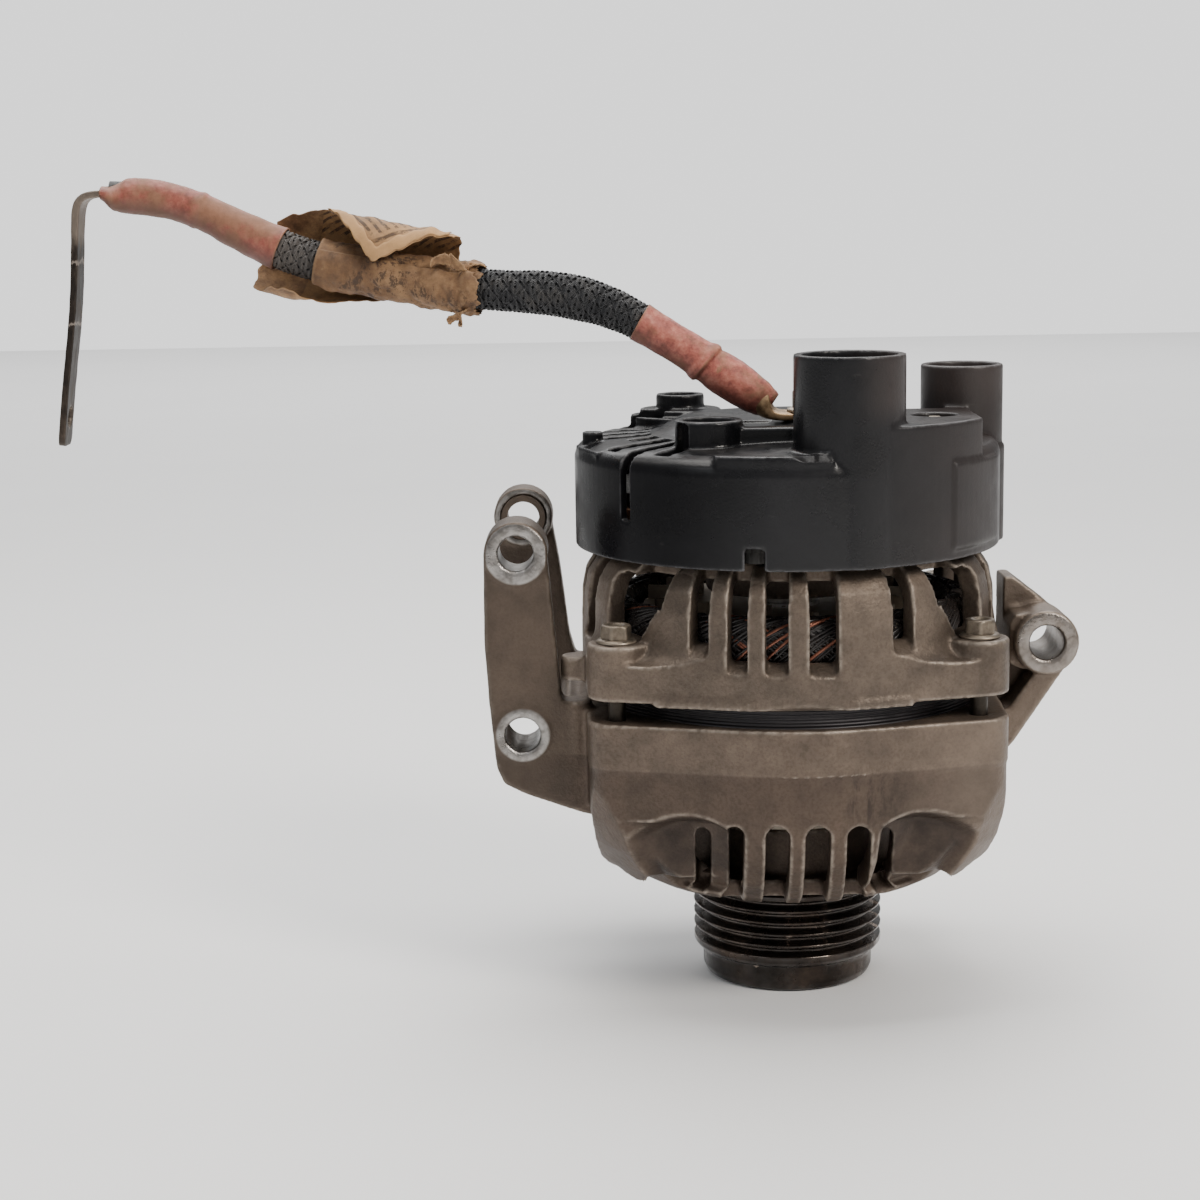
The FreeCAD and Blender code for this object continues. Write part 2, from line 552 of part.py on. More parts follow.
f_in, f_out, f_set = races("front_bearing", "shaft_front+0.01", 12.7, 19.2, "fbear_rad", "fbear_lo", "fbear_hi", 4.2, 15.95, 8)
r_in, r_out, r_set = races("rear_bearing", "shaft_rear+0.01", 10.2, 14.8, "rbear_rad", "rbear_lo", "rbear_hi", 3.0, 12.5, 8)
node(f_in, "front_bearing_inner_race")
node(f_out, "front_bearing_outer_race")
node(f_set, "front_bearing_balls")
node(r_in, "rear_bearing_inner_race")
node(r_out, "rear_bearing_outer_race")
node(r_set, "rear_bearing_balls")
node(ring("rbear_lo", "rbear_hi", "rbear_rad+0.01", 19.0, name="tolerance_ring"), "rear_bearing_sleeve")
retainer = cut(cyl(0, 0, "fbear_hi", "fbear_hi+2.4", 32.0), [cyl(0, 0, 50, 60, 14.6)] + [
    cyl(round(28 * math.cos(math.radians(a)), 5), round(28 * math.sin(math.radians(a)), 5), 50, 60, 2.2) for a in (45, 135, 225, 315)])
node(retainer, "front_bearing_retainer")
screws = []
for a in (45, 135, 225, 315):
    x, y = round(28 * math.cos(math.radians(a)), 5), round(28 * math.sin(math.radians(a)), 5)
    screws.append(fuse([cyl(x, y, 44, 55, 1.98), cyl(x, y, "fbear_hi+2.4", "fbear_hi+4.4", 3.6)], "retainer_screw"))
node(group(screws, "retainer_screws"), "retainer_screws")

# ---------------------------------------------------------------- rotor
node(turned("rotor_shaft", [
    (0, 5), ("shaft_thread-0.8", 5), ("shaft_thread", 5.8), ("shaft_thread", 36), ("shaft_front", 36.5), ("shaft_front", 61),
    ("shaft_core", 61.4), ("shaft_core", 115), (9.0, 115.2), (9.0, "rbear_lo"), ("shaft_rear", "rbear_lo"), ("shaft_rear", 133.4),
    ("shaft_ring", 133.8), ("shaft_ring", 158.4), (5.2, 159.2), (0, 159.2)]), "rotor_shaft")
node(ring("fbear_hi", 61, "shaft_front+0.02", 13.0), "shaft_spacer")


def claw(angle, z_root, z_tip):
    """One tapering claw, wide and thick at its root."""
    o = fresh("Part::Wedge", "claw")
    up = z_tip > z_root
    o.Xmin, o.Xmax = 0, 9.5
    o.Zmin, o.Zmax = -8.6, 8.6
    o.X2min, o.X2max = 5.2, 9.5
    o.Z2min, o.Z2max = -3.4, 3.4
    o.Ymin, o.Ymax = 0, abs(z_tip - z_root)
    # the wedge's Y becomes the shaft direction
    rot = FreeCAD.Rotation(V(1, 0, 0), 90 if up else -90)
    rot = FreeCAD.Rotation(V(0, 0, 1), angle).multiply(rot)
    a = math.radians(angle)
    o.Placement = FreeCAD.Placement(V(35.0 * math.cos(a), 35.0 * math.sin(a), z_root), rot)
    return o


def pole(tag, z0, z1, z_hub, z_root, z_tip, first):
    disc = turned(tag + "_disc", [(24, z0), (36.5, z0), (36.5, z1), (24, z1)])
    hub = turned(tag + "_hub", [("shaft_core+0.02", z0), (24, z0), (24, z1), (22, z1), (22, z_hub), ("shaft_core+0.02", z_hub)]
                 if number_of(z_hub) > number_of(z1) else
                 [("shaft_core+0.02", z1), (24, z1), (24, z0), (22, z0), (22, z_hub), ("shaft_core+0.02", z_hub)])
    claws = [claw(first + 60 * i, z_root, z_tip) for i in range(6)]
    body = fuse([disc, hub] + claws, tag + "_raw")
    return common(body, cyl(0, 0, 60, 116, "rotor_rad"), tag)


node(pole("front_claw_pole", "rotor_lo", 75.5, "rotor_mid-0.02", D["rotor_lo"], 109.0, 0), "front_claw_pole")
node(pole("rear_claw_pole", 100.5, "rotor_hi", "rotor_mid+0.02", D["rotor_hi"], 67.0, 30), "rear_claw_pole")
node(turned("field_bobbin", [(22.1, 75.8), (33.0, 75.8), (33.0, 77.2), (23.6, 77.2), (23.6, 98.8), (33.0, 98.8), (33.0, 100.2),
                             (22.1, 100.2)]), "field_bobbin")
node(ring(77.3, 98.7, 23.7, 32.4), "field_coil")


def fan(tag, z0, z1, blade0, blade1, r0, turns):
    plate_ = ring(z0, z1, "shaft_core+0.05", 43.0)
    blades = []
    for i in range(turns):
        o = spoke(360.0 / turns * i + (7 if i % 2 else 0), r0, 42.4, 1.4, blade0, blade1, tag + "_blade")
        blades.append(o)
    return fuse([plate_] + blades, tag)


node(fan("front_fan", 61.5, 63.9, 55.8, 62.0, 33.2, 11), "front_fan")
node(fan("rear_fan", 112.1, 114.0, 113.5, 118.2, 29.5, 13), "rear_fan")
node(turned("slip_ring_sleeve", [
    ("shaft_ring+0.02", 136.6), (9.1, 136.6), (9.1, 138.9), (6.92, 138.9), (6.92, 146.1), (9.1, 146.1), (9.1, 148.9), (6.92, 148.9),
    (6.92, 156.1), (9.1, 156.1), (9.1, 157.8), ("shaft_ring+0.02", 157.8)]), "slip_ring_insulator")
node(group([ring(138.95, 146.05, 6.94, "slip_rad"), ring(148.95, 156.05, 6.94, "slip_rad")]), "slip_rings")

# ---------------------------------------------------------------- pulley with its one-way clutch
pts = [("pulley_bore", 0), ("collar_rad-2.6", 0), ("collar_rad-0.7", 1.0), ("collar_rad", 3.2), ("collar_rad", 8.0),
       ("crest_rad-0.9", 8.9), ("crest_rad", 10.0)]
for k in range(5):
    z = D["groove_one"] + k * D["groove_pitch"]
    pts += [("crest_rad", round(z - 1.5, 3)), ("groove_rad", round(z - 0.5, 3)), ("groove_rad", round(z + 0.5, 3)),
            ("crest_rad", round(z + 1.5, 3))]
pts += [("crest_rad", "pulley_len-0.5"), ("crest_rad-0.6", "pulley_len"), ("pulley_bore", "pulley_len")]
node(turned("pulley_ring", pts), "pulley_ring")
node(turned("pulley_cap", [(0, 0), ("pulley_bore-0.05", 0), ("pulley_bore-0.05", 2.2), ("pulley_bore-1.4", 2.2),
                           ("pulley_bore-1.4", 1.3), (0, 1.3)]), "pulley_dust_cap")
node(turned("clutch_hub", [
    ("shaft_thread+0.02", 3.2), ("hub_rad-0.6", 3.2), ("hub_rad", 3.8), ("hub_rad", 31.6), (12.6, 32.4), (12.6, "fbear_lo"),
    ("shaft_front+0.03", "fbear_lo"), ("shaft_front+0.03", 36.1), ("shaft_thread+0.02", 35.9)]), "clutch_hub")
pitch = D["hub_rad"] + D["roller_rad"] + 0.06
node(group([cyl(round(pitch * math.cos(math.radians(a)), 5), round(pitch * math.sin(math.radians(a)), 5), 10, 22,
                "roller_rad", "clutch_roller") for a in range(0, 360, 36)]), "clutch_rollers")
node(group([ring(3.6, 8.6, "hub_rad+0.02", "pulley_bore-0.04"), ring(23.4, 29.4, "hub_rad+0.02", "pulley_bore-0.04")]),
     "pulley_bearings")

# ---------------------------------------------------------------- rectifier
SECTOR = [(0, 0), (-6.5, -64), (-64, -64), (-64, 64), (-12, 64)]


def crescent(tag, z0, z1, r0, r1, holes, hole_rad):
    plan = common(ring(z0, z1, r0, r1), padded_xy(tag + "_sector", SECTOR, z0, z1))
    tools = [cyl(x, y, 130, 160, 5.6, "stud_room") for x, y in studs_at[:2]]
    tools += [cyl(x, y, 130, 160, hole_rad, "diode_hole") for x, y in holes]
    return plan, tools


diode_at = [(round(41.0 * math.cos(math.radians(a)), 4), round(41.0 * math.sin(math.radians(a)), 4)) for a in (112, 162, 200)]
plan, tools = crescent("negative_plate", 137.2, 140.2, 26, 54.5, diode_at, 6.3)
feet = [cyl(x, y, "rear_hi", 137.3, 3.4, "plate_foot") for x, y in ((-20, 46), (-50, -4), (-12, -49))]
node(cut(fuse([plan] + feet), tools, "negative_heat_sink"), "negative_heat_sink")
plan, tools = crescent("positive_plate", 147.6, 150.6, 26, 52.5, diode_at, 6.3)
tab = padded_xy("stud_tab", [(-30, -30), (-6, -27.5), (13.4, -26.2), (13.4, -14.0), (-18, -14.0), (-30, -14.0)], 147.6, 150.6)
node(cut(fuse([plan, tab]), tools + [cyl("stud_px", "stud_py", 140, 160, "stud_rad+0.02")], "positive_heat_sink"), "positive_heat_sink")
plan, tools = crescent("terminal_board", 141.6, 146.4, 25, 55.0, diode_at, 7.2)
node(cut(plan, tools, "rectifier_board"), "rectifier_board")
node(group([cyl(x, y, 134.9, 141.0, 6.28, "diode") for x, y in diode_at] +
           [cyl(x, y, 147.0, 153.6, 6.28, "diode") for x, y in diode_at]), "rectifier_diodes")
node(fuse([cyl("stud_px", "stud_py", 144.6, 182.4, "stud_rad"), hexagon("stud_px", "stud_py", 150.6, 156, 7.2),
           hexagon("stud_px", "stud_py", 143.4, 147.6, 6.6)], "output_stud"), "output_stud")

# ---------------------------------------------------------------- regulator, brushes
holder = box(10.6, 34, -7, 7, 137.4, 157.6, "brush_holder")
case = box(22, 36, -34, -6.5, 138, 152, "regulator_case")
arm = box(6.5, 30, -49, -33, 148, 155.5, "connector_arm")
channel_a = box(9, 31.2, -3.1, 3.1, 139.9, 145.1, "brush_channel")
channel_b = box(9, 31.2, -3.1, 3.1, 149.9, 155.1, "brush_channel")
fin_cuts = [box(21, 37, y, y + 1.8, 149.2, 153, "fin_gap") for y in (-31, -27, -23, -19, -15, -11)]
node(cut(fuse([holder, case, arm]), [channel_a, channel_b] + fin_cuts, "voltage_regulator"), "voltage_regulator")
node(box("slip_rad+0.02", "brush_out", -3, 3, 140, 145, "carbon_brush_lower"), "carbon_brush_lower")
node(box("slip_rad+0.02", "brush_out", -3, 3, 150, 155, "carbon_brush_upper"), "carbon_brush_upper")


def spring(tag, z):
    """A light coil spring behind a brush, from the brush to the end of its channel."""
    helix = Part.makeHelix(1.45, 8.2, 1.7)
    profile = Part.Wire([Part.Circle(V(1.7, 0, 0), V(0, 1, 0), 0.3).toShape()])
    coil = Part.Wire(helix.Edges).makePipeShell([profile], True, True)
    turns = helix.Length
    print("spring: volume %.2f, section x length %.2f" % (coil.Volume, math.pi * 0.09 * turns))
    assert abs(coil.Volume - math.pi * 0.09 * turns) < 0.06 * coil.Volume, "the spring's sweep is wrong"
    coil.Placement = FreeCAD.Placement(V(22.5, 0, z), FreeCAD.Rotation(V(0, 1, 0), 90))
    o = doc.addObject("Part::Feature", tag)
    o.Shape = coil
    return o


node(spring("brush_spring_lower", 142.5), "brush_spring_lower")
node(spring("brush_spring_upper", 152.5), "brush_spring_upper")
node(group([box(x - 0.4, x + 0.4, -47.6, -44.8, 155.5, 176, "blade") for x in (9.5, 14.0, 18.5)]), "connector_blades")

# ---------------------------------------------------------------- cover
shell = turned("cover_shell", [
    (0, "cover_top"), (31.5, "cover_top"), (34.5, "cover_top-1.2"), (38, "cover_top-3.6"), (42, "cover_top-4.5"), (57.4, "cover_rim+0.8"),
    (60.6, "cover_rim-0.2"), (62.3, "cover_rim-1.9"), ("cover_rad", "cover_rim-4.0"), ("cover_rad", "cover_lo"), (0, "cover_lo")])
block = common(cyl(0, 0, "cover_lo", "block_hi", "cover_rad"), box(14.0, 53, -66, -3, "cover_lo", "block_hi"), "cover_block")
front_rim = common(ring("cover_rim-3", "cover_rim+1.3", 58.2, "cover_rad-0.35"), box(-24, 8, -70, -50, 158, 168), "front_rim")
side_panel = common(ring(136.4, 160.6, 58, "cover_rad+0.8"), spoke(-34, 55, 70, 28, 136.4, 160.6, "side_panel_span"), "side_panel")
cover_solid = fuse([
    shell, block, front_rim, side_panel,
    cyl("tower_px", "tower_py", "cover_lo", "tower_hi", "tower_rad", "main_socket"),
    cyl("post_px", "post_py", 158, "post_hi", "post_rad", "second_socket"),
    cyl("post_px", "post_py", 131.4, 160.0, "post_rad+0.7", "second_socket_root"),
    cyl(-24.4, -33, 155, 172.7, 9.6, "fixing_cup"), cyl(-30.3, 30, 158, 174.6, 7.4, "fixing_cup"),
    cyl(-30.3, 30, 158, "cover_top+0.2", 12.4, "cup_step"), cyl(-30.3, 30, 158, "cover_top-1.8", 15.4, "cup_step_low"),
    cyl(-57.4, -9.5, 158, 167.4, 3.0, "small_boss"),
    box(-17, 1, -38.0, -31.6, 158, 170.4, "cup_rib"),
    cyl("stud_px", "stud_py", 165, "cover_top+0.6", 9.4, "terminal_pad"),
    padded_xy("corner_pad", [(-62.4, -6), (-49.5, -6), (-49.5, -26), (-56.4, -27.4), (-61.6, -12)], 155, 163.2),
], "cover_solid")
inner = turned("cover_inner", [
    (0, "cover_top-2.8"), (31.0, "cover_top-2.8"), (33.6, "cover_top-4.0"), (36.8, "cover_top-6.4"), (40.6, "cover_top-7.3"),
    (56.2, "cover_rim-2.0"), (59.0, "cover_rim-3.4"),
    ("cover_rad-cover_wall", "cover_rim-5.6"), ("cover_rad-cover_wall", 128), (0, 128)])
block_inner = common(cyl(0, 0, 130, "block_hi-3.6", "cover_rad-cover_wall"), box(16.4, 50.4, -66, -5.6, 130, "block_hi-3.6"), "cover_block_inner")
# the cups and the pad keep solid bosses under them for their sunk nuts, and both sockets keep their floors
room = cut(fuse([inner, block_inner], "cover_room_plan"), [
    cyl(-24.4, -33, 160.6, 176, 9.6), cyl(-30.3, 30, 163.4, 178, 7.4), cyl(41, -22, 163.4, 176, 8.8),
    cyl("tower_px", "tower_py", 159.8, 176, "tower_rad"), cyl("post_px", "post_py", 160.6, 176, "post_rad")], "cover_room")
cover_tools = [
    room,
    cyl("tower_px", "tower_py", 162.4, 195, "tower_rad-2.2", "socket_bore"),
    cyl("tower_px", "tower_py", 140, 159.8, "tower_rad-2.2", "socket_under"),
    cyl("post_px", "post_py", 163.5, 190, "post_rad-2.0", "post_bore"),
    cyl("post_px", "post_py", 128, 160.6, "post_rad-2.0", "post_under"),
    cyl(-24.4, -33, 163.6, 176, 7.4, "cup_bore"), cyl(-24.4, -33, 150, 170, 2.7, "stud_hole"),
    cyl(-30.3, 30, 166.4, 178, 5.4, "cup_bore"), cyl(-30.3, 30, 150, 172, 2.7, "stud_hole"),
    cyl(41, -22, 166.4, 176, 6.6, "pad_recess"), cyl(41, -22, 150, 172, 2.7, "stud_hole"),
    cyl("stud_px", "stud_py", 150, 176, "stud_rad+0.3", "output_hole"),
    box(-16.2, -10.8, -68, -54, 130, 139.4, "edge_notch"),
    box(-15.0, -5.0, -28.0, -11.0, 169.0, 173, "terminal_recess"),
    cyl("stud_px", "stud_py", "cover_top+0.6", 180, 8.8, "terminal_seat"),
]
cover_tools += [box(x - 0.7, x + 0.7, -48.0, -44.4, 155, 166, "blade_slot") for x in (9.5, 14.0, 18.5)]
for angle, r1, low in ((-130.4, 58.6, 158), (-140.6, 66, 145), (-151, 59.5, 158), (-163, 48.5, 158), (-175, 59.0, 158),
                       (173, 59.5, 158), (161, 59.5, 158), (149, 59.5, 158), (112, 59.5, 158), (100, 66, 145), (88, 59.5, 158),
                       (76, 59.5, 158), (64, 66, 145), (52, 59.5, 158), (40, 59.5, 158)):
    if low < 150:
        cover_tools.append(spoke(angle, 58.4, r1, 3.6, low, 172, "side_vent"))
        cover_tools.append(spoke(angle, 40.5, 59.2, 4.6, 155, 172, "top_vent"))
    else:
        cover_tools.append(spoke(angle, 40.5, r1, 5.2, low - 6, 172, "top_vent"))
rear_cover = node(cut(cover_solid, cover_tools, "rear_cover"), "rear_cover")
node(group([cyl(-24.4, -33, 131, 168.6, 2.48), cyl(-30.3, 30, 131, 171.4, 2.48), cyl(41, -22, 131, 171.4, 2.48)]), "cover_studs")
node(group([cut(hexagon(x, y, z, z + 3.6, 4.6), [cyl(x, y, z - 1, z + 5, 2.5)]) for (x, y), z in zip(studs_at, (163.6, 166.4, 166.4))]),
     "cover_nuts")

# ---------------------------------------------------------------- output cable
# The route's points, from the ring terminal up and away to the left.
ROUTE = [(-9.5, -16.9, 177.2), (-21.5, -15.0, 185.6), (-35.5, -12.6, 194.6), (-50.5, -11.2, 203.4), (-66.5, -10.6, 207.8),
         (-84.5, -9.0, 208.6), (-103.5, -5.4, 211.2), (-122.0, -3.4, 216.9), (-140.5, -2.2, 220.4), (-156.5, -0.8, 226.2),
         (-171.5, 0.2, 233.6), (-185.5, 0.2, 237.4), (-197.0, -0.2, 237.9)]
pts = [V(*p) for p in ROUTE]


def rounded_route(points):
    """Straight runs joined by tangent arcs, each as large as its two runs allow."""
    edges = []
    here = points[0]
    for i in range(1, len(points) - 1):
        a, b, c = points[i - 1], points[i], points[i + 1]
        u, w = (a - b), (c - b)
        la, lc = u.Length, w.Length
        u.normalize()
        w.normalize()
        turn = math.pi - u.getAngle(w)
        radius = 0.45 * min(la, lc) / math.tan(turn / 2)
        reach = 0.45 * min(la, lc)
        start, end = b + u * reach, b + w * reach
        bis = u + w
        bis.normalize()
        centre = b + bis * (radius / math.cos(turn / 2))
        inward = b - centre
        inward.normalize()
        middle = centre + inward * radius
        edges.append(Part.LineSegment(here, start))
        edges.append(Part.Arc(start, middle, end))
        print("route point %d: turn %.1f deg, radius %.1f mm" % (i, math.degrees(turn), radius))
        here = end
    edges.append(Part.LineSegment(here, points[-1]))
    return edges


edges = rounded_route(pts)


def length_of(curve):
    return curve.toShape().Length


def stretch(first, last):
    """The part of the route from the middle of run first to the middle of run last."""
    chosen = []
    for i, e in enumerate(edges):
        run = i // 2
        if i % 2 == 0:
            mid = (e.StartPoint + e.EndPoint) * 0.5
            lo = mid if run == first else e.StartPoint
            hi = mid if run == last else e.EndPoint
            if first == -1 and run == 0:
                lo = e.StartPoint
            if first <= run <= last or (first == -1 and run <= last):
                chosen.append(Part.LineSegment(lo, hi))
        elif first <= run < last or (first == -1 and run < last):
            chosen.append(e)
    return chosen


def tube(chosen, outer, inner=0.0):
    wire = Part.Wire([c.toShape() for c in chosen])
    start = chosen[0].StartPoint
    way = chosen[0].EndPoint - start
    solids = []
    for r in (outer, inner):
        if r <= 0:
            continue
        profile = Part.Wire([Part.Circle(start, way, r).toShape()])
        pipe = wire.makePipeShell([profile], True, False)
        solids.append(pipe)
    body = solids[0] if len(solids) == 1 else solids[0].cut(solids[1])
    if body.ShapeType == "Compound":
        body = body.Solids[0]
    want = math.pi * (outer ** 2 - inner ** 2) * wire.Length
    print("tube r %.2f/%.2f: volume %.1f, section x length %.1f, length %.1f" % (outer, inner, body.Volume, want, wire.Length))
    assert abs(body.Volume - want) < 0.02 * want, "the swept tube is wrong"
    return body


def feature(name, shape):
    o = doc.addObject("Part::Feature", name)
    o.Shape = shape
    o.Placement = FreeCAD.Placement()
    return node(o, name)


cable = float(dims.cable_rad)
feature("battery_cable", tube(edges, cable))
feature("heat_shrink_lug_end", tube(stretch(-1, 2), float(dims.shrink_rad), cable + 0.05))
feature("braided_sleeve", tube(stretch(2, 8), float(dims.sleeve_rad), cable + 0.05))
feature("heat_shrink_bar_end", tube(stretch(8, 11), float(dims.shrink_rad), cable + 0.05))
feature("paper_tag", tube(stretch(4, 8), 11.0, float(dims.sleeve_rad) + 0.3))

# ring terminal: a flat eye on the stud and a barrel round the cable's end
way = pts[1] - pts[0]
way.normalize()
barrel = Part.makeCylinder(5.1, 3.0, pts[0] - way * 3.0, way)
eye = Part.makeCylinder(8.0, 2.6, V(D["stud_px"], D["stud_py"], D["cover_top"] + 0.7))
neck = Part.makeBox(17.7, 8.6, 2.6, V(-11.0, -22.6, D["cover_top"] + 0.7))
hole = Part.makeCylinder(D["stud_rad"] + 0.15, 8, V(D["stud_px"], D["stud_py"], D["cover_top"] - 1))
terminal = neck.fuse(eye).cut(hole).fuse(barrel)
feature("cable_terminal", terminal.Solids[0] if terminal.ShapeType == "Compound" else terminal)
nut_body = fresh("Part::Prism", "nut_body")
nut_body.Polygon = 6
put(nut_body, "Circumradius", "7.2")
put(nut_body, "Height", "6.5")
where(nut_body, "stud_px", "stud_py", "cover_top+3.3", FreeCAD.Rotation(V(0, 0, 1), 30))
node(cut(nut_body, [cyl("stud_px", "stud_py", 165, 190, "stud_rad+0.02")]), "output_nut")
# flat copper bar at the cable's far end, bent down
bar_line = [(-197.6, 238.8), (-203.0, 239.0), (-206.4, 237.4), (-207.9, 233.6), (-209.4, 208.4), (-211.9, 189.8), (-215.2, 165.0),
            (-213.2, 164.8), (-209.9, 189.6), (-207.4, 208.2), (-205.9, 233.2), (-204.9, 235.8), (-202.8, 236.9), (-197.6, 236.8)]
strap = padded_xz("terminal_bar_strip", bar_line, -5.2, 5.2)
tilt = math.degrees(math.atan2(3.3, 24.8))
bar_hole = fresh("Part::Cylinder", "bar_hole")
bar_hole.Radius = 3.2
bar_hole.Height = 20
c, s = math.cos(math.radians(tilt)), math.sin(math.radians(tilt))
bar_mid = V(-213.1, 0, 173.3)
bar_dir = V(-c, 0, s)
bar_hole.Placement = FreeCAD.Placement(bar_mid - bar_dir * 10, FreeCAD.Rotation(V(0, 0, 1), bar_dir))
node(cut(strap, [bar_hole], "terminal_bar"), "terminal_bar")

# ---------------------------------------------------------------- check and write
doc.recompute()
bad = [o.Name for o in doc.Objects if "Invalid" in o.State or "Error" in o.State]
assert not bad, "failed objects: " + ", ".join(bad)
labels = [o.Label for o in NODES]
assert len(labels) == len(set(labels)) and len(labels) <= 60
print([o.Label for o in NODES if o.Shape.isNull() or not o.Shape.isValid()])
for o in NODES:
    assert not o.Shape.isNull() and o.Shape.isValid(), "bad shape: " + o.Label
    assert o.Shape.Solids, "no solid: " + o.Label
for o in NODES:
    o.Shape.exportStep("parts/%s.step" % o.Label)
    print("%-28s solids %2d  volume %10.1f" % (o.Label, len(o.Shape.Solids), o.Shape.Volume))
print(len(NODES), "nodes")
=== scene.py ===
import json
import math
import random

import bmesh
import bpy
import numpy as np
from mathutils import Matrix, Vector, noise


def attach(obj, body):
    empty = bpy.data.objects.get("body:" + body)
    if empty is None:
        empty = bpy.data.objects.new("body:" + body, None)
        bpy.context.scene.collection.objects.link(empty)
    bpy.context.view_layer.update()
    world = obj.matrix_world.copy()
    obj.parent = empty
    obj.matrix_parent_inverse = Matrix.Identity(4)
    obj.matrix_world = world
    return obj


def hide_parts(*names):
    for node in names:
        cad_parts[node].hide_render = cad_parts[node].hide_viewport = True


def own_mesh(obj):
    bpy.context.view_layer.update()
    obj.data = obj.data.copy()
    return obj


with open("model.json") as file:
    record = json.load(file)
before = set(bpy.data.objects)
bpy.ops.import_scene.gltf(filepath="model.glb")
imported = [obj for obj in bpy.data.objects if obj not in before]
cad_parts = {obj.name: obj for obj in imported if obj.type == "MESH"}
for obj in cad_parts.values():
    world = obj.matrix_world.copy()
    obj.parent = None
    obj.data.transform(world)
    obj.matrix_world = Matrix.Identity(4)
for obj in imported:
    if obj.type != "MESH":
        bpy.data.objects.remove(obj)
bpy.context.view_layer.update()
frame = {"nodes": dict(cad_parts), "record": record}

NODES = frame["nodes"]
MM = 0.001
scene = bpy.context.scene
noise.seed_set(7)


# ------------------------------------------------------------------ camera
cam_data = bpy.data.cameras.new("camera")
cam_data.sensor_width = 36.0
cam_data.lens = 71.1
cam_data.clip_start, cam_data.clip_end = 0.01, 20.0
cam = bpy.data.objects.new("camera", cam_data)
scene.collection.objects.link(cam)
cam.matrix_world = (Matrix.Translation((-0.056, -0.702, 0.238)) @ Matrix.Rotation(math.radians(90 - 9.9), 4, "X")
                    @ Matrix.Rotation(-0.016, 4, "Z"))
scene.camera = cam


# ------------------------------------------------------------------ small helpers
def link(ob):
    scene.collection.objects.link(ob)
    return ob


def mesh_object(name, verts, faces, smooth=True):
    me = bpy.data.meshes.new(name)
    me.from_pydata([tuple(v) for v in verts], [], [tuple(f) for f in faces])
    me.update()
    if smooth:
        me.polygons.foreach_set("use_smooth", [True] * len(me.polygons))
    return link(bpy.data.objects.new(name, me))


def evaluated(ob):
    """A plain mesh of an object with its modifiers applied."""
    dg = bpy.context.evaluated_depsgraph_get()
    dg.update()
    return bpy.data.meshes.new_from_object(ob.evaluated_get(dg))


def bake(ob):
    """Applies an object's modifiers to its own mesh."""
    me = evaluated(ob)
    ob.modifiers.clear()
    old = ob.data
    ob.data = me
    bpy.data.meshes.remove(old)
    return ob


def co_of(me):
    co = np.zeros(len(me.vertices) * 3, np.float32)
    me.vertices.foreach_get("co", co)
    return co.reshape(-1, 3).astype(float)


def put_co(me, co):
    me.vertices.foreach_set("co", co.astype(np.float32).ravel())
    me.update()


def smoothstep(a, b, x):
    t = np.clip((x - a) / (b - a), 0, 1)
    return t * t * (3 - 2 * t)


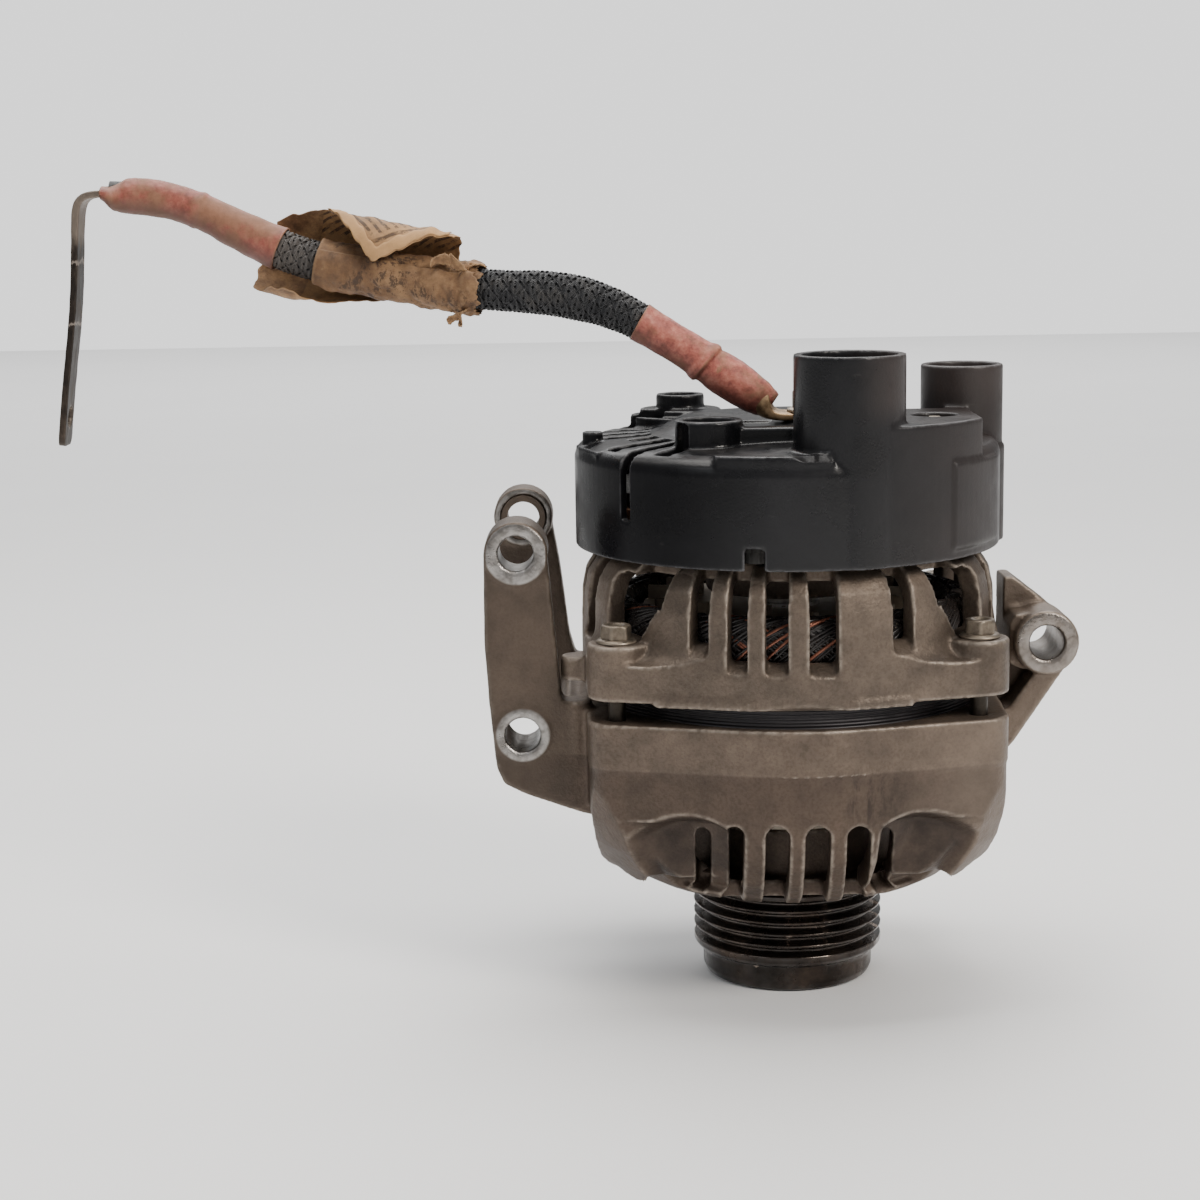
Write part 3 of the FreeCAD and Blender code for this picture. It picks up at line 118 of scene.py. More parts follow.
# ------------------------------------------------------------------ material maker
class Mat:
    def __init__(self, name):
        self.m = bpy.data.materials.new(name)
        self.m.use_nodes = True
        self.t = self.m.node_tree
        self.b = self.t.nodes["Principled BSDF"]
        self.geo = self.t.nodes.new("ShaderNodeNewGeometry")
        self.tc = self.t.nodes.new("ShaderNodeTexCoord")
        self.pos = self.tc.outputs["Object"]

    def node(self, kind, **inputs):
        n = self.t.nodes.new(kind)
        for k, v in inputs.items():
            k = k.replace("_", " ")
            if hasattr(v, "links"):
                self.t.links.new(v, n.inputs[k])
            else:
                n.inputs[k].default_value = v
        return n

    def join(self, a, b):
        self.t.links.new(a, b)

    def stretch(self, x=1.0, y=1.0, z=1.0, at=(0, 0, 0), turn=(0, 0, 0)):
        n = self.t.nodes.new("ShaderNodeMapping")
        n.inputs["Scale"].default_value = (x, y, z)
        n.inputs["Location"].default_value = at
        n.inputs["Rotation"].default_value = turn
        self.join(self.pos, n.inputs["Vector"])
        return n.outputs["Vector"]

    def noise(self, scale, detail=4.0, rough=0.55, vec=None, distort=0.0):
        n = self.t.nodes.new("ShaderNodeTexNoise")
        n.inputs["Scale"].default_value = scale
        n.inputs["Detail"].default_value = detail
        n.inputs["Roughness"].default_value = rough
        n.inputs["Distortion"].default_value = distort
        self.join(vec or self.pos, n.inputs["Vector"])
        return n.outputs["Fac"]

    def cells(self, scale, vec=None, feature="F1", out="Distance"):
        n = self.t.nodes.new("ShaderNodeTexVoronoi")
        n.feature = feature
        n.inputs["Scale"].default_value = scale
        self.join(vec or self.pos, n.inputs["Vector"])
        return n.outputs[out]

    def ramp(self, fac, stops):
        n = self.t.nodes.new("ShaderNodeValToRGB")
        e = n.color_ramp.elements
        while len(e) < len(stops):
            e.new(0.5)
        for el, (p, c) in zip(e, stops):
            el.position = p
            el.color = (c, c, c, 1) if isinstance(c, (int, float)) else (*c, 1)
        self.join(fac, n.inputs["Fac"])
        return n.outputs["Color"]

    def mix(self, fac, a, b, kind="MIX"):
        n = self.t.nodes.new("ShaderNodeMix")
        n.data_type = "RGBA"
        n.blend_type = kind
        for i, v in ((0, fac), (6, a), (7, b)):
            sock = n.inputs[i]
            if hasattr(v, "links"):
                self.join(v, sock)
            elif isinstance(v, (int, float)):
                sock.default_value = v if i == 0 else (v, v, v, 1)
            else:
                sock.default_value = (*v, 1)
        return n.outputs[2]

    def calc(self, op, a, b=None, clamp=False):
        n = self.t.nodes.new("ShaderNodeMath")
        n.operation = op
        n.use_clamp = clamp
        for sock, v in zip(n.inputs, (a, b)):
            if v is None:
                continue
            if hasattr(v, "links"):
                self.join(v, sock)
            else:
                sock.default_value = v
        return n.outputs[0]

    def span(self, x, lo, hi, to0=0.0, to1=1.0):
        n = self.t.nodes.new("ShaderNodeMapRange")
        n.clamp = True
        n.interpolation_type = "SMOOTHSTEP"
        self.join(x, n.inputs["Value"])
        for k, v in (("From Min", lo), ("From Max", hi), ("To Min", to0), ("To Max", to1)):
            n.inputs[k].default_value = v
        return n.outputs["Result"]

    def xyz(self, src=None):
        n = self.t.nodes.new("ShaderNodeSeparateXYZ")
        self.join(src or self.pos, n.inputs[0])
        return n.outputs[0], n.outputs[1], n.outputs[2]

    def near(self, point, r0, r1, axis=None):
        """1 inside r0 of a point (or of a line along an axis), 0 outside r1."""
        x, y, z = self.xyz()
        total = None
        for s, c, name in ((x, point[0], "x"), (y, point[1], "y"), (z, point[2], "z")):
            if name == axis:
                continue
            d = self.calc("SUBTRACT", s, c)
            d = self.calc("MULTIPLY", d, d)
            total = d if total is None else self.calc("ADD", total, d)
        return self.span(self.calc("SQRT", total), r0, r1, 1.0, 0.0)

    def edge(self, lo=0.5, hi=0.56):
        return self.span(self.geo.outputs["Pointiness"], lo, hi)

    def attr(self, name):
        n = self.t.nodes.new("ShaderNodeAttribute")
        n.attribute_name = name
        return n.outputs["Fac"]

    def bump(self, height, dist, strength=1.0, normal=None):
        n = self.t.nodes.new("ShaderNodeBump")
        n.inputs["Strength"].default_value = strength
        n.inputs["Distance"].default_value = dist
        self.join(height, n.inputs["Height"])
        if normal is not None:
            self.join(normal, n.inputs["Normal"])
        return n.outputs["Normal"]

    def out(self, color=None, rough=None, metal=None, normal=None, coat=None, sheen=None, spec=None):
        b = self.b
        for name, v in (("Base Color", color), ("Roughness", rough), ("Metallic", metal), ("Normal", normal),
                        ("Coat Weight", coat), ("Sheen Weight", sheen), ("Specular IOR Level", spec)):
            if v is None:
                continue
            if hasattr(v, "links"):
                self.join(v, b.inputs[name])
            elif name == "Base Color":
                b.inputs[name].default_value = (*v, 1)
            else:
                b.inputs[name].default_value = v
        return self.m


def dress(ob, mat):
    ob.data.materials.clear()
    ob.data.materials.append(mat)
    return ob


def dress_node(name, mat):
    """A CAD node keeps its mesh and gets a material in its own slots."""
    ob = NODES[name]
    if not ob.material_slots:
        ob.data.materials.append(mat)
    for s in ob.material_slots:
        s.material = mat
    return ob


# ------------------------------------------------------------------ the battery cable, first of all
ROUTE = [(-9.5, -16.9, 177.2), (-21.5, -15.0, 185.6), (-35.5, -12.6, 194.6), (-50.5, -11.2, 203.4), (-66.5, -10.6, 207.8),
         (-84.5, -9.0, 208.6), (-103.5, -5.4, 210.8), (-122.0, -3.4, 214.6), (-140.5, -2.2, 218.2), (-156.5, -0.8, 225.2),
         (-171.5, 0.2, 233.4), (-185.5, 0.2, 237.4), (-197.0, -0.2, 237.9)]


def nurbs(name, route, bevel=0.0):
    cu = bpy.data.curves.new(name, "CURVE")
    cu.dimensions = "3D"
    cu.resolution_u = 16
    sp = cu.splines.new("NURBS")
    sp.points.add(len(route) - 1)
    for p, q in zip(sp.points, route):
        p.co = (q[0] * MM, q[1] * MM, q[2] * MM, 1.0)
    sp.order_u = 3
    sp.use_endpoint_u = True
    if bevel:
        cu.bevel_depth = bevel
        cu.bevel_resolution = 8
        cu.use_fill_caps = True
    return link(bpy.data.objects.new(name, cu))


cable = nurbs("battery_cable_line", ROUTE, 3.9 * MM)
guide = nurbs("guide", ROUTE)
line_mesh = evaluated(guide)
LINE = co_of(line_mesh)
bpy.data.objects.remove(guide)


class Path:
    """Arc length, position and a frame that does not twist, along the cable's own line."""

    def __init__(self, pts):
        self.p = pts
        step = np.linalg.norm(np.diff(pts, axis=0), axis=1)
        self.s = np.concatenate([[0], np.cumsum(step)])
        self.length = float(self.s[-1])
        t = np.gradient(pts, axis=0)
        self.t = t / np.linalg.norm(t, axis=1)[:, None]

    def at(self, s):
        """Point, tangent, front (towards -Y) and up at arc length s, beyond the ends in a straight line."""
        k = min(max(s, 0.0), self.length)
        p = np.array([np.interp(k, self.s, self.p[:, i]) for i in range(3)])
        t = np.array([np.interp(k, self.s, self.t[:, i]) for i in range(3)])
        t /= np.linalg.norm(t)
        p = p + t * (s - k)
        front = np.array([0.0, -1.0, 0.0])
        front = front - t * (front @ t)
        front /= np.linalg.norm(front)
        up = np.cross(t, front)
        if up[2] < 0:
            up = -up
        return p, t, front, up

    def point(self, s, angle, r):
        """angle 0 is the front, 90 degrees the top, 180 the back."""
        p, t, f, u = self.at(s)
        return p + (f * math.cos(angle) + u * math.sin(angle)) * r


PATH = Path(LINE)
print("cable line length", round(PATH.length, 4))


def loft(name, stations, around, shape, close=True, caps=(False, False)):
    """A skin through rings: shape(s, angle) gives the point, at each station s."""
    verts, faces = [], []
    for s in stations:
        for k in range(around):
            verts.append(shape(s, 2 * math.pi * k / around))
    n = around
    for i in range(len(stations) - 1):
        for k in range(n if close else n - 1):
            a, b = i * n + k, i * n + (k + 1) % n
            faces.append((a, b, b + n, a + n))
    if caps[0]:
        faces.append(tuple(reversed(range(n))))
    if caps[1]:
        last = (len(stations) - 1) * n
        faces.append(tuple(range(last, last + n)))
    return mesh_object(name, verts, faces)


def knots(table, x):
    """A smooth value read from (x, value) pairs."""
    xs, ys = [t[0] for t in table], [t[1] for t in table]
    if x <= xs[0]:
        return ys[0]
    for i in range(len(xs) - 1):
        if x <= xs[i + 1]:
            t = (x - xs[i]) / (xs[i + 1] - xs[i])
            t = t * t * (3 - 2 * t)
            return ys[i] + (ys[i + 1] - ys[i]) * t
    return ys[-1]


def turb(x, y, z, f):
    return noise.noise(Vector((x * f, y * f, z * f)))


def fix_normals(ob):
    bm = bmesh.new()
    bm.from_mesh(ob.data)
    bmesh.ops.recalc_face_normals(bm, faces=bm.faces)
    bm.to_mesh(ob.data)
    bm.free()
    ob.data.polygons.foreach_set("use_smooth", [True] * len(ob.data.polygons))
    return ob


def thicken(ob, t, offset=-1.0):
    m = ob.modifiers.new("thick", "SOLIDIFY")
    m.thickness = t
    m.offset = offset
    m.use_even_offset = False
    return bake(ob)


S = 1000.0  # metres to millimetres
TAU = 2 * math.pi

# heat-shrink at the lug: swollen over the crimp, one ridge where the cable ends inside
LUG_R = [(-4.6, 3.9), (-2.5, 4.7), (1.0, 5.5), (7.0, 6.1), (13.0, 6.05), (15.6, 5.75), (16.8, 5.55), (17.8, 6.45), (18.8, 6.3), (21.0, 5.6),
         (26.0, 5.35), (34.0, 5.45), (39.0, 5.65), (40.6, 5.8)]


def lug_shape(s, a):
    mm = s * S
    r = knots(LUG_R, mm)
    tilt = 0.9 * math.cos(a - 1.2)
    r = r + (knots(LUG_R, mm + tilt) - r) * 0.8
    r += 0.16 * turb(mm, 3 * math.cos(a), 3 * math.sin(a), 0.22) + 0.07 * turb(mm, 5 * math.cos(a), 5 * math.sin(a), 0.7)
    # long shallow wrinkles where the tube shrank unevenly
    r += 0.06 * math.sin(5 * a + 0.25 * mm) * smooth_bump(mm, 19, 36)
    return PATH.point(s, a, r * MM)


def smooth_bump(x, a, b):
    if x <= a or x >= b:
        return 0.0
    return math.sin(math.pi * (x - a) / (b - a)) ** 2


stations = np.linspace(-4.6, 40.6, 150) * MM
lug_shrink = loft("heat_shrink_lug_end_skin", stations, 56, lug_shape)
thicken(lug_shrink, 0.7 * MM)

# heat-shrink at the bar: over the braid on the right, a kink in the middle, pressed flat on the bar
BAR_R = [(148.6, 6.45), (151.0, 6.35), (156.0, 6.0), (163.0, 5.7), (170.0, 5.35), (173.5, 5.2), (175.0, 5.55), (177.0, 5.3), (184.0, 5.3),
         (191.0, 5.35), (195.5, 5.3), (197.5, 5.0), (203.6, 2.0)]
BAR_WIDE = [(148.0, 1.0), (192.0, 1.0), (197.0, 1.12), (203.6, 3.05)]


def bar_shape(s, a):
    mm = s * S
    r = knots(BAR_R, mm + 2.2 * math.sin(a) * smooth_bump(mm, 190, 206))
    r += 0.18 * turb(mm, 3 * math.cos(a), 3 * math.sin(a), 0.2) + 0.06 * turb(mm, 4 * math.cos(a), 4 * math.sin(a), 0.8)
    r += 0.22 * smooth_bump(mm, 172.6, 176.4) * (0.4 + 0.6 * math.sin(a + 0.6))
    wide = knots(BAR_WIDE, mm)
    p, t, f, u = PATH.at(s)
    lift = 0.35 * MM * smoothstep(194, 203, mm)
    flat = r * MM
    return p + f * math.cos(a) * flat * wide + u * (math.sin(a) * flat + lift)


stations = np.linspace(148.6, 203.6, 170) * MM
bar_shrink = loft("heat_shrink_bar_end_skin", stations, 56, bar_shape)
thicken(bar_shrink, 0.6 * MM)

# braided sleeve: twelve carriers each way, three filaments to a carrier, over and under by turns
BRAID_R = [(36.0, 4.9), (42.0, 5.0), (50.0, 5.5), (60.0, 6.05), (70.0, 5.9), (80.0, 5.5), (92.0, 5.35), (150.0, 5.35), (154.0, 5.3)]


def braid():
    verts, faces = [], []
    first, last, turn = 37.5, 152.5, 30.0
    carriers, per = 12, 8
    steps = int((last - first) / turn * carriers * per)
    half, side = 0.31, 5
    tone = []
    for way in (1, -1):
        for c in range(carriers):
            for k in range(3):
                base = len(verts)
                for i in range(steps + 1):
                    mm = first + (last - first) * i / steps
                    a = way * TAU * (mm - first) / turn + TAU * c / carriers
                    phase = (mm - first) / turn * carriers * math.pi * 2
                    r = knots(BRAID_R, mm)
                    lift = 0.34 * math.sin(phase + (0 if way > 0 else math.pi) + c * math.pi)
                    a += (k - 1) * 0.62 / r
                    q, t, f, u = PATH.at(mm * MM)
                    out = f * math.cos(a) + u * math.sin(a)
                    roll = u * math.cos(a) - f * math.sin(a)
                    lat = t * 0.62 * -way + roll * 0.78
                    centre = q + out * (r + lift) * MM
                    for j in range(side):
                        b = TAU * (j + 0.5) / side
                        verts.append(centre + (out * math.cos(b) * 0.85 + lat * math.sin(b)) * half * MM)
                for i in range(steps):
                    for j in range(side):
                        p0, p1 = base + i * side + j, base + i * side + (j + 1) % side
                        faces.append((p0, p1, p1 + side, p0 + side))
                faces.append(tuple(reversed(range(base, base + side))))
                faces.append(tuple(range(base + steps * side, base + (steps + 1) * side)))
    return mesh_object("braided_sleeve_weave", verts, faces)


sleeve = braid()
fix_normals(sleeve)
# a dark tube under the weave: painted shade in the gaps between the filaments
sleeve_shade_underlay = loft("braided_sleeve_shade_underlay", np.linspace(37.8, 152.0, 90) * MM, 40,
              lambda s, a: PATH.point(s, a, (knots(BRAID_R, s * S) - 0.42) * MM), caps=(True, True))


# ------------------------------------------------------------------ paper tag
def crumple(x, y, z, amount):
    """Sharp folds as crumpled paper has them: creases where two planes meet."""
    v = 0.0
    for f, w, k in ((0.11, 1.0, 0.0), (0.23, 0.5, 7.0), (0.46, 0.24, 19.0)):
        v += w * (abs(noise.noise(Vector((x * f + k, y * f, z * f)))) * 2 - 0.45)
    return v * amount


def local(mm, front, up):
    p, t, f, u = PATH.at(mm * MM)
    return p + (f * front + u * up) * MM


def sheet_grid(name, rows, cols, place, keep=None):
    """A grid of points as one sheet, with its own flat coordinates kept as attributes."""
    verts, faces, flat = [], [], []
    for i in range(rows + 1):
        for j in range(cols + 1):
            p, uv = place(i / rows, j / cols)
            verts.append(p)
            flat.append(uv)
    for i in range(rows):
        for j in range(cols):
            if keep is None or keep((i + 0.5) / rows, (j + 0.5) / cols):
                a = i * (cols + 1) + j
                faces.append((a, a + 1, a + cols + 2, a + cols + 1))
    ob = mesh_object(name, verts, faces)
    for k, tag in enumerate(("flat_u", "flat_v")):
        at = ob.data.attributes.new(tag, "FLOAT", "POINT")
        at.data.foreach_set("value", [f[k] for f in flat])
    bm = bmesh.new()
    bm.from_mesh(ob.data)
    bmesh.ops.delete(bm, geom=[v for v in bm.verts if not v.link_faces], context="VERTS")
    bm.to_mesh(ob.data)
    bm.free()
    return ob


WRAP_LO, WRAP_HI = 88.0, 137.0


def wrap_point(i, j):
    """The inner turns of paper, tight round the sleeve and bunched at the right."""
    a = -0.5 + 7.4 * j
    edge = 1.6 * turb(a * 3, 1.0, 0.0, 0.9) + 0.9 * turb(a * 9, 5.0, 0.0, 0.8)
    mm = WRAP_LO + (WRAP_HI - WRAP_LO) * i + edge * (1 - i) * 1.6
    bunch = knots([(88, 1.0), (92, 1.5), (97, 0.75), (106, 0.35), (137, 0.25)], mm)
    r = 6.45 + 0.55 * j + bunch * 0.9 + crumple(mm, 6 * math.cos(a), 6 * math.sin(a), 0.55 + 0.8 * bunch)
    r = max(r, 6.15)
    return local(mm, r * math.cos(a), r * math.sin(a)), (mm - 500.0, a * 7.0)


wrap = sheet_grid("tag_wrap", 90, 190, wrap_point)

# the outer fold: open at the left, carried over the top, its front edge a V
V_EDGE = [(98, 1.25), (103, 1.02), (108, 0.75), (113, 0.46), (117.0, 0.20), (119.2, 0.04), (121.4, 0.18), (125.0, 0.50), (129.0, 0.85), (134.0, 1.27), (138.5, 1.62),
          (150, 2.15), (156, 2.6)]
LOW_EDGE = [(98, 3.3), (112, 3.9), (120, 4.6), (136, 4.9), (141, 5.35), (146, 5.25), (150, 4.75), (156, 4.1)]
FOLD_R = [(95, 8.4), (100, 9.6), (106, 11.0), (114, 11.8), (124, 12.4), (134, 13.3), (142, 13.6), (150, 13.4), (156, 12.6)]
FOLD_UP = [(95, 5.6), (104, 5.0), (112, 3.6), (122, 3.0), (136, 2.0), (146, 0.4), (156, -0.6)]


def fold_at(mm, a, lift=0.0):
    r, up = knots(FOLD_R, mm), knots(FOLD_UP, mm)
    squash = 1.0 - 0.16 * math.cos(a) ** 2
    r = r * squash + crumple(mm, 8 * math.cos(a), 8 * math.sin(a), 0.42) + lift
    # the paper is nearly flat either side of its creases
    r += 0.5 * math.cos(3 * (a - 1.1)) * smooth_bump(mm, 98, 150)
    f, u = r * math.cos(a), up + r * math.sin(a)
    low = 6.9
    away = math.hypot(f, u)
    if away < low:
        f, u = f * low / away, u * low / away
    return local(mm, f, u)


def fold_point(i, j):
    mm = 97.0 + 57.0 * i
    a0, a1 = knots(V_EDGE, mm), knots(LOW_EDGE, mm)
    a1 += 0.10 * turb(mm, 0, 3, 0.5)
    a = a0 + (a1 - a0) * j
    mm2 = mm + (0.9 * turb(a * 4, 2, 0, 0.8)) * (1 if 0 < i < 1 else 1.6)
    return fold_at(mm2, a), (mm2, a * 12.0)


fold = sheet_grid("tag_fold", 110, 120, fold_point)


def hem_point(i, j):
    """The turned-over edge along the V, two thicknesses proud."""
    mm = 99.0 + 39.0 * i
    a = knots(V_EDGE, mm) + 0.012 + 0.40 * j
    return fold_at(mm, a, 0.42 + 0.10 * math.sin(math.pi * j)), (300 + mm, j)


hem = sheet_grid("tag_hem", 90, 6, hem_point)


def scrap(name, mm, front, up, size, turn, seed):
    """A twisted torn end of paper."""
    rnd = random.Random(seed)
    k = rnd.uniform(0, 50)

    def place(i, j):
        x, y = (i - 0.5) * size, (j - 0.5) * size * 0.8
        curl = 0.62 * size
        lx = curl * math.sin(x / curl)
        lz = curl * (1 - math.cos(x / curl)) * 0.8 + 0.10 * size * math.sin(7.0 * y / size + k)
        x2, z2 = lx * math.cos(turn) - lz * math.sin(turn), lx * math.sin(turn) + lz * math.cos(turn)
        w = crumple(x + k, y, z2, 0.75) + crumple(3 * x + k, 3 * y, z2, 0.3)
        return local(mm + x2 + w * 0.5, front + y * 0.6 + w, up + z2 + y * 0.35 + w), (600 + x, y)

    return sheet_grid(name, 22, 18, place, lambda i, j: (i - 0.5) ** 2 + (j - 0.5) ** 2 < 0.25 + 0.07 * turb(i * 6 + k, j * 6, 0, 1.0))


scraps = [scrap("tag_scrap_a", 92.0, 5.2, -8.6, 6.0, 1.9, 3), scrap("tag_scrap_b", 94.6, 5.6, -8.4, 4.8, 2.6, 11),
          scrap("tag_scrap_c", 90.0, 4.6, 6.6, 7.0, 2.7, 5), scrap("tag_scrap_d", 94.5, 6.4, 6.0, 7.0, 0.5, 8),
          scrap("tag_scrap_e", 99.5, 6.0, 7.0, 8.0, 2.9, 21)]


def merge(name, parts):
    """Several meshes joined into one object."""
    bm = bmesh.new()
    for ob in parts:
        bm.from_mesh(ob.data)
    me = bpy.data.meshes.new(name)
    names = ("flat_u", "flat_v")
    values = {n: [] for n in names}
    for ob in parts:
        for n in names:
            at = ob.data.attributes.get(n)
            vals = [0.0] * len(ob.data.vertices)
            if at:
                at.data.foreach_get("value", vals)
            values[n] += vals
    bm.to_mesh(me)
    bm.free()
    for n in names:
        if me.attributes.get(n):
            me.attributes.remove(me.attributes[n])
        at = me.attributes.new(n, "FLOAT", "POINT")
        at.data.foreach_set("value", values[n])
    me.polygons.foreach_set("use_smooth", [True] * len(me.polygons))
    for ob in parts:
        old = ob.data
        bpy.data.objects.remove(ob)
        bpy.data.meshes.remove(old)
    return link(bpy.data.objects.new(name, me))


tag = merge("paper_tag_sheet", [wrap, fold, hem] + scraps)
tag.data.materials.clear()
thicken(tag, 0.22 * MM, 0.0)

# ------------------------------------------------------------------ flat bar and ring terminal
BAR_LINE = [(-196.0, 238.2), (-200.6, 238.1), (-203.4, 237.7), (-205.3, 236.4), (-206.3, 234.2), (-206.8, 230.6), (-207.3, 222.0), (-208.3, 208.3),
            (-209.6, 198.0), (-210.9, 189.7), (-212.6, 178.0), (-214.2, 164.9)]


def bar_piece():
    guide = nurbs("bar_guide", [(x, 0.0, z) for x, z in BAR_LINE])
    guide.data.resolution_u = 24
    me = evaluated(guide)
    pts = co_of(me)
    bpy.data.objects.remove(guide)
    t = np.gradient(pts, axis=0)
    t /= np.linalg.norm(t, axis=1)[:, None]
    step = np.concatenate([[0], np.cumsum(np.linalg.norm(np.diff(pts, axis=0), axis=1))])
    want = np.linspace(0, step[-1], 150)
    verts, faces = [], []
    half_w, half_t, rr = 5.15, 1.0, 0.42
    section = []
    for cx, cy, a0 in ((half_w - rr, half_t - rr, 0), (-half_w + rr, half_t - rr, 90), (-half_w + rr, -half_t + rr, 180), (half_w - rr, -half_t + rr, 270)):
        for k in range(4):
            a = math.radians(a0 + 30 * k)
            section.append((cx + rr * math.cos(a), cy + rr * math.sin(a)))
    # more points along the wide faces so that the metal can carry dents
    dense = []
    for i in range(len(section)):
        a, b = section[i], section[(i + 1) % len(section)]
        n = 14 if math.dist(a, b) > 3 else 1
        for k in range(n):
            dense.append((a[0] + (b[0] - a[0]) * k / n, a[1] + (b[1] - a[1]) * k / n))
    n = len(dense)
    total = want[-1]
    for w in want:
        p = np.array([np.interp(w, step, pts[:, i]) for i in range(3)])
        tt = np.array([np.interp(w, step, t[:, i]) for i in range(3)])
        tt /= np.linalg.norm(tt)
        out = np.array([tt[2], 0.0, -tt[0]])
        # rounded free end
        left = (total - w) * S
        shrink = 1.0 if left > 4.0 else 0.62 + 0.38 * math.sqrt(max(0.0, 1 - ((4.0 - left) / 4.0) ** 2))
        for a, b in dense:
            d = 0.10 * turb(a * 2, w * S, 0, 0.22) + 0.035 * turb(a * 2, w * S, 3, 0.9)
            thick = b + math.copysign(0.12, b) * smooth_bump(w * S, 6, 22) + d
            verts.append(p + np.array([0, -1, 0]) * a * shrink * MM + out * thick * MM)
    for i in range(len(want) - 1):
        for k in range(n):
            a, b = i * n + k, i * n + (k + 1) % n
            faces.append((a, b, b + n, a + n))
    faces.append(tuple(reversed(range(n))))
    last = (len(want) - 1) * n
    faces.append(tuple(range(last, last + n)))
    ob = mesh_object("terminal_bar_strap", verts, faces)
    fix_normals(ob)
    # the bolt hole near the free end
    bpy.ops.mesh.primitive_cylinder_add(vertices=48, radius=3.2 * MM, depth=10 * MM, location=(-213.1 * MM, 0, 173.3 * MM),
                                        rotation=(0, math.radians(90) + math.atan2(3.3, 24.8), 0))
    tool = bpy.context.active_object
    m = ob.modifiers.new("hole", "BOOLEAN")
    m.operation, m.object, m.solver = "DIFFERENCE", tool, "EXACT"
    bake(ob)
    bpy.data.objects.remove(tool)
    ob.data.polygons.foreach_set("use_smooth", [True] * len(ob.data.polygons))
    return ob


bar = bar_piece()


STUD = (7.2, -20.0)


def lug_piece():
    """A crimped barrel that flattens into a tongue with an eye on the stud."""
    start = np.array(ROUTE[0]) - np.array([0, 0, 0.0])
    way = np.array(ROUTE[1]) - start
    way /= np.linalg.norm(way)
    rings = []
    # (centre, half width, half height, direction, squareness)
    tongue = np.array([1.0, -0.12, 0.0])
    tongue /= np.linalg.norm(tongue)
    seq = []
    for d, w, h in ((5.0, 4.6, 4.6), (1.0, 4.7, 4.7), (-1.2, 4.9, 4.6), (-2.4, 5.2, 4.2)):
        seq.append((start + way * d, w, h, way))
    seq += [(np.array([-6.6, -17.4, 174.0]), 5.4, 3.0, (way + tongue * -1) / 2), (np.array([-5.2, -18.0, 172.6]), 5.6, 1.6, -tongue),
            (np.array([-3.4, -18.4, 172.05]), 5.9, 1.32, -tongue), (np.array([0.4, -19.0, 172.0]), 6.4, 1.3, -tongue), (np.array([2.2, -19.6, 172.0]), 6.6, 1.3, -tongue)]
    verts, faces, n = [], [], 40
    for c, w, h, d in seq:
        d = d / np.linalg.norm(d)
        side = np.array([0, -1.0, 0]) - d * (-d[1])
        side /= np.linalg.norm(side)
        up = np.cross(d, side)
        if up[2] < 0:
            up = -up
        for k in range(n):
            a = TAU * k / n
            ca, sa = math.cos(a), math.sin(a)
            p = 2.0 if h > 3 else 4.0
            ca = math.copysign(abs(ca) ** (2 / p), ca)
            sa = math.copysign(abs(sa) ** (2 / p), sa)
            verts.append((c + side * ca * w + up * sa * h) * MM)
    for i in range(len(seq) - 1):
        for k in range(n):
            a, b = i * n + k, i * n + (k + 1) % n
            faces.append((a, b, b + n, a + n))
    faces.append(tuple(reversed(range(n))))
    faces.append(tuple(range((len(seq) - 1) * n, len(seq) * n)))
    ob = mesh_object("cable_terminal_lug", verts, faces)
    fix_normals(ob)
    sub = ob.modifiers.new("sub", "SUBSURF")
    sub.levels = sub.render_levels = 2
    bake(ob)
    # eye: a washer with rounded edges
    ring = turned_mesh("eye", [(4.15, 170.75), (4.35, 170.7), (7.6, 170.7), (8.0, 171.1), (8.0, 172.9), (7.6, 173.3), (4.35, 173.3), (4.15, 173.25)], 72,
                       STUD)
    bm = bmesh.new()
    bm.from_mesh(ob.data)
    bm.from_mesh(ring.data)
    bm.to_mesh(ob.data)
    bm.free()
    bpy.data.objects.remove(ring)
    ob.data.polygons.foreach_set("use_smooth", [True] * len(ob.data.polygons))
    return ob


def turned_mesh(name, profile, steps, centre=(0.0, 0.0), wobble=None):
    """A closed ring-shaped solid of revolution from a closed profile of (radius, height)."""
    verts, faces = [], []
    n = len(profile)
    for i in range(steps):
        a = TAU * i / steps
        for r, z in profile:
            d = wobble(a, r, z) if wobble else 0.0
            verts.append(((centre[0] + (r + d) * math.cos(a)) * MM, (centre[1] + (r + d) * math.sin(a)) * MM, z * MM))
    for i in range(steps):
        b = (i + 1) % steps
        for k in range(n):
            m = (k + 1) % n
            faces.append((i * n + k, b * n + k, b * n + m, i * n + m))
    ob = mesh_object(name, verts, faces)
    return fix_normals(ob)


lug = lug_piece()


# ------------------------------------------------------------------ pulley ring
def rounded(points, reach, steps=4):
    """Each corner of a closed profile replaced by a small curve."""
    out = []
    n = len(points)
    for i in range(n):
        p, q, r = np.array(points[i - 1]), np.array(points[i]), np.array(points[(i + 1) % n])
        u, w = p - q, r - q
        k = min(reach, 0.42 * np.linalg.norm(u), 0.42 * np.linalg.norm(w))
        a, b = q + u / np.linalg.norm(u) * k, q + w / np.linalg.norm(w) * k
        for j in range(steps + 1):
            t = j / steps
            out.append(tuple((1 - t) ** 2 * a + 2 * t * (1 - t) * q + t * t * b))
    return out


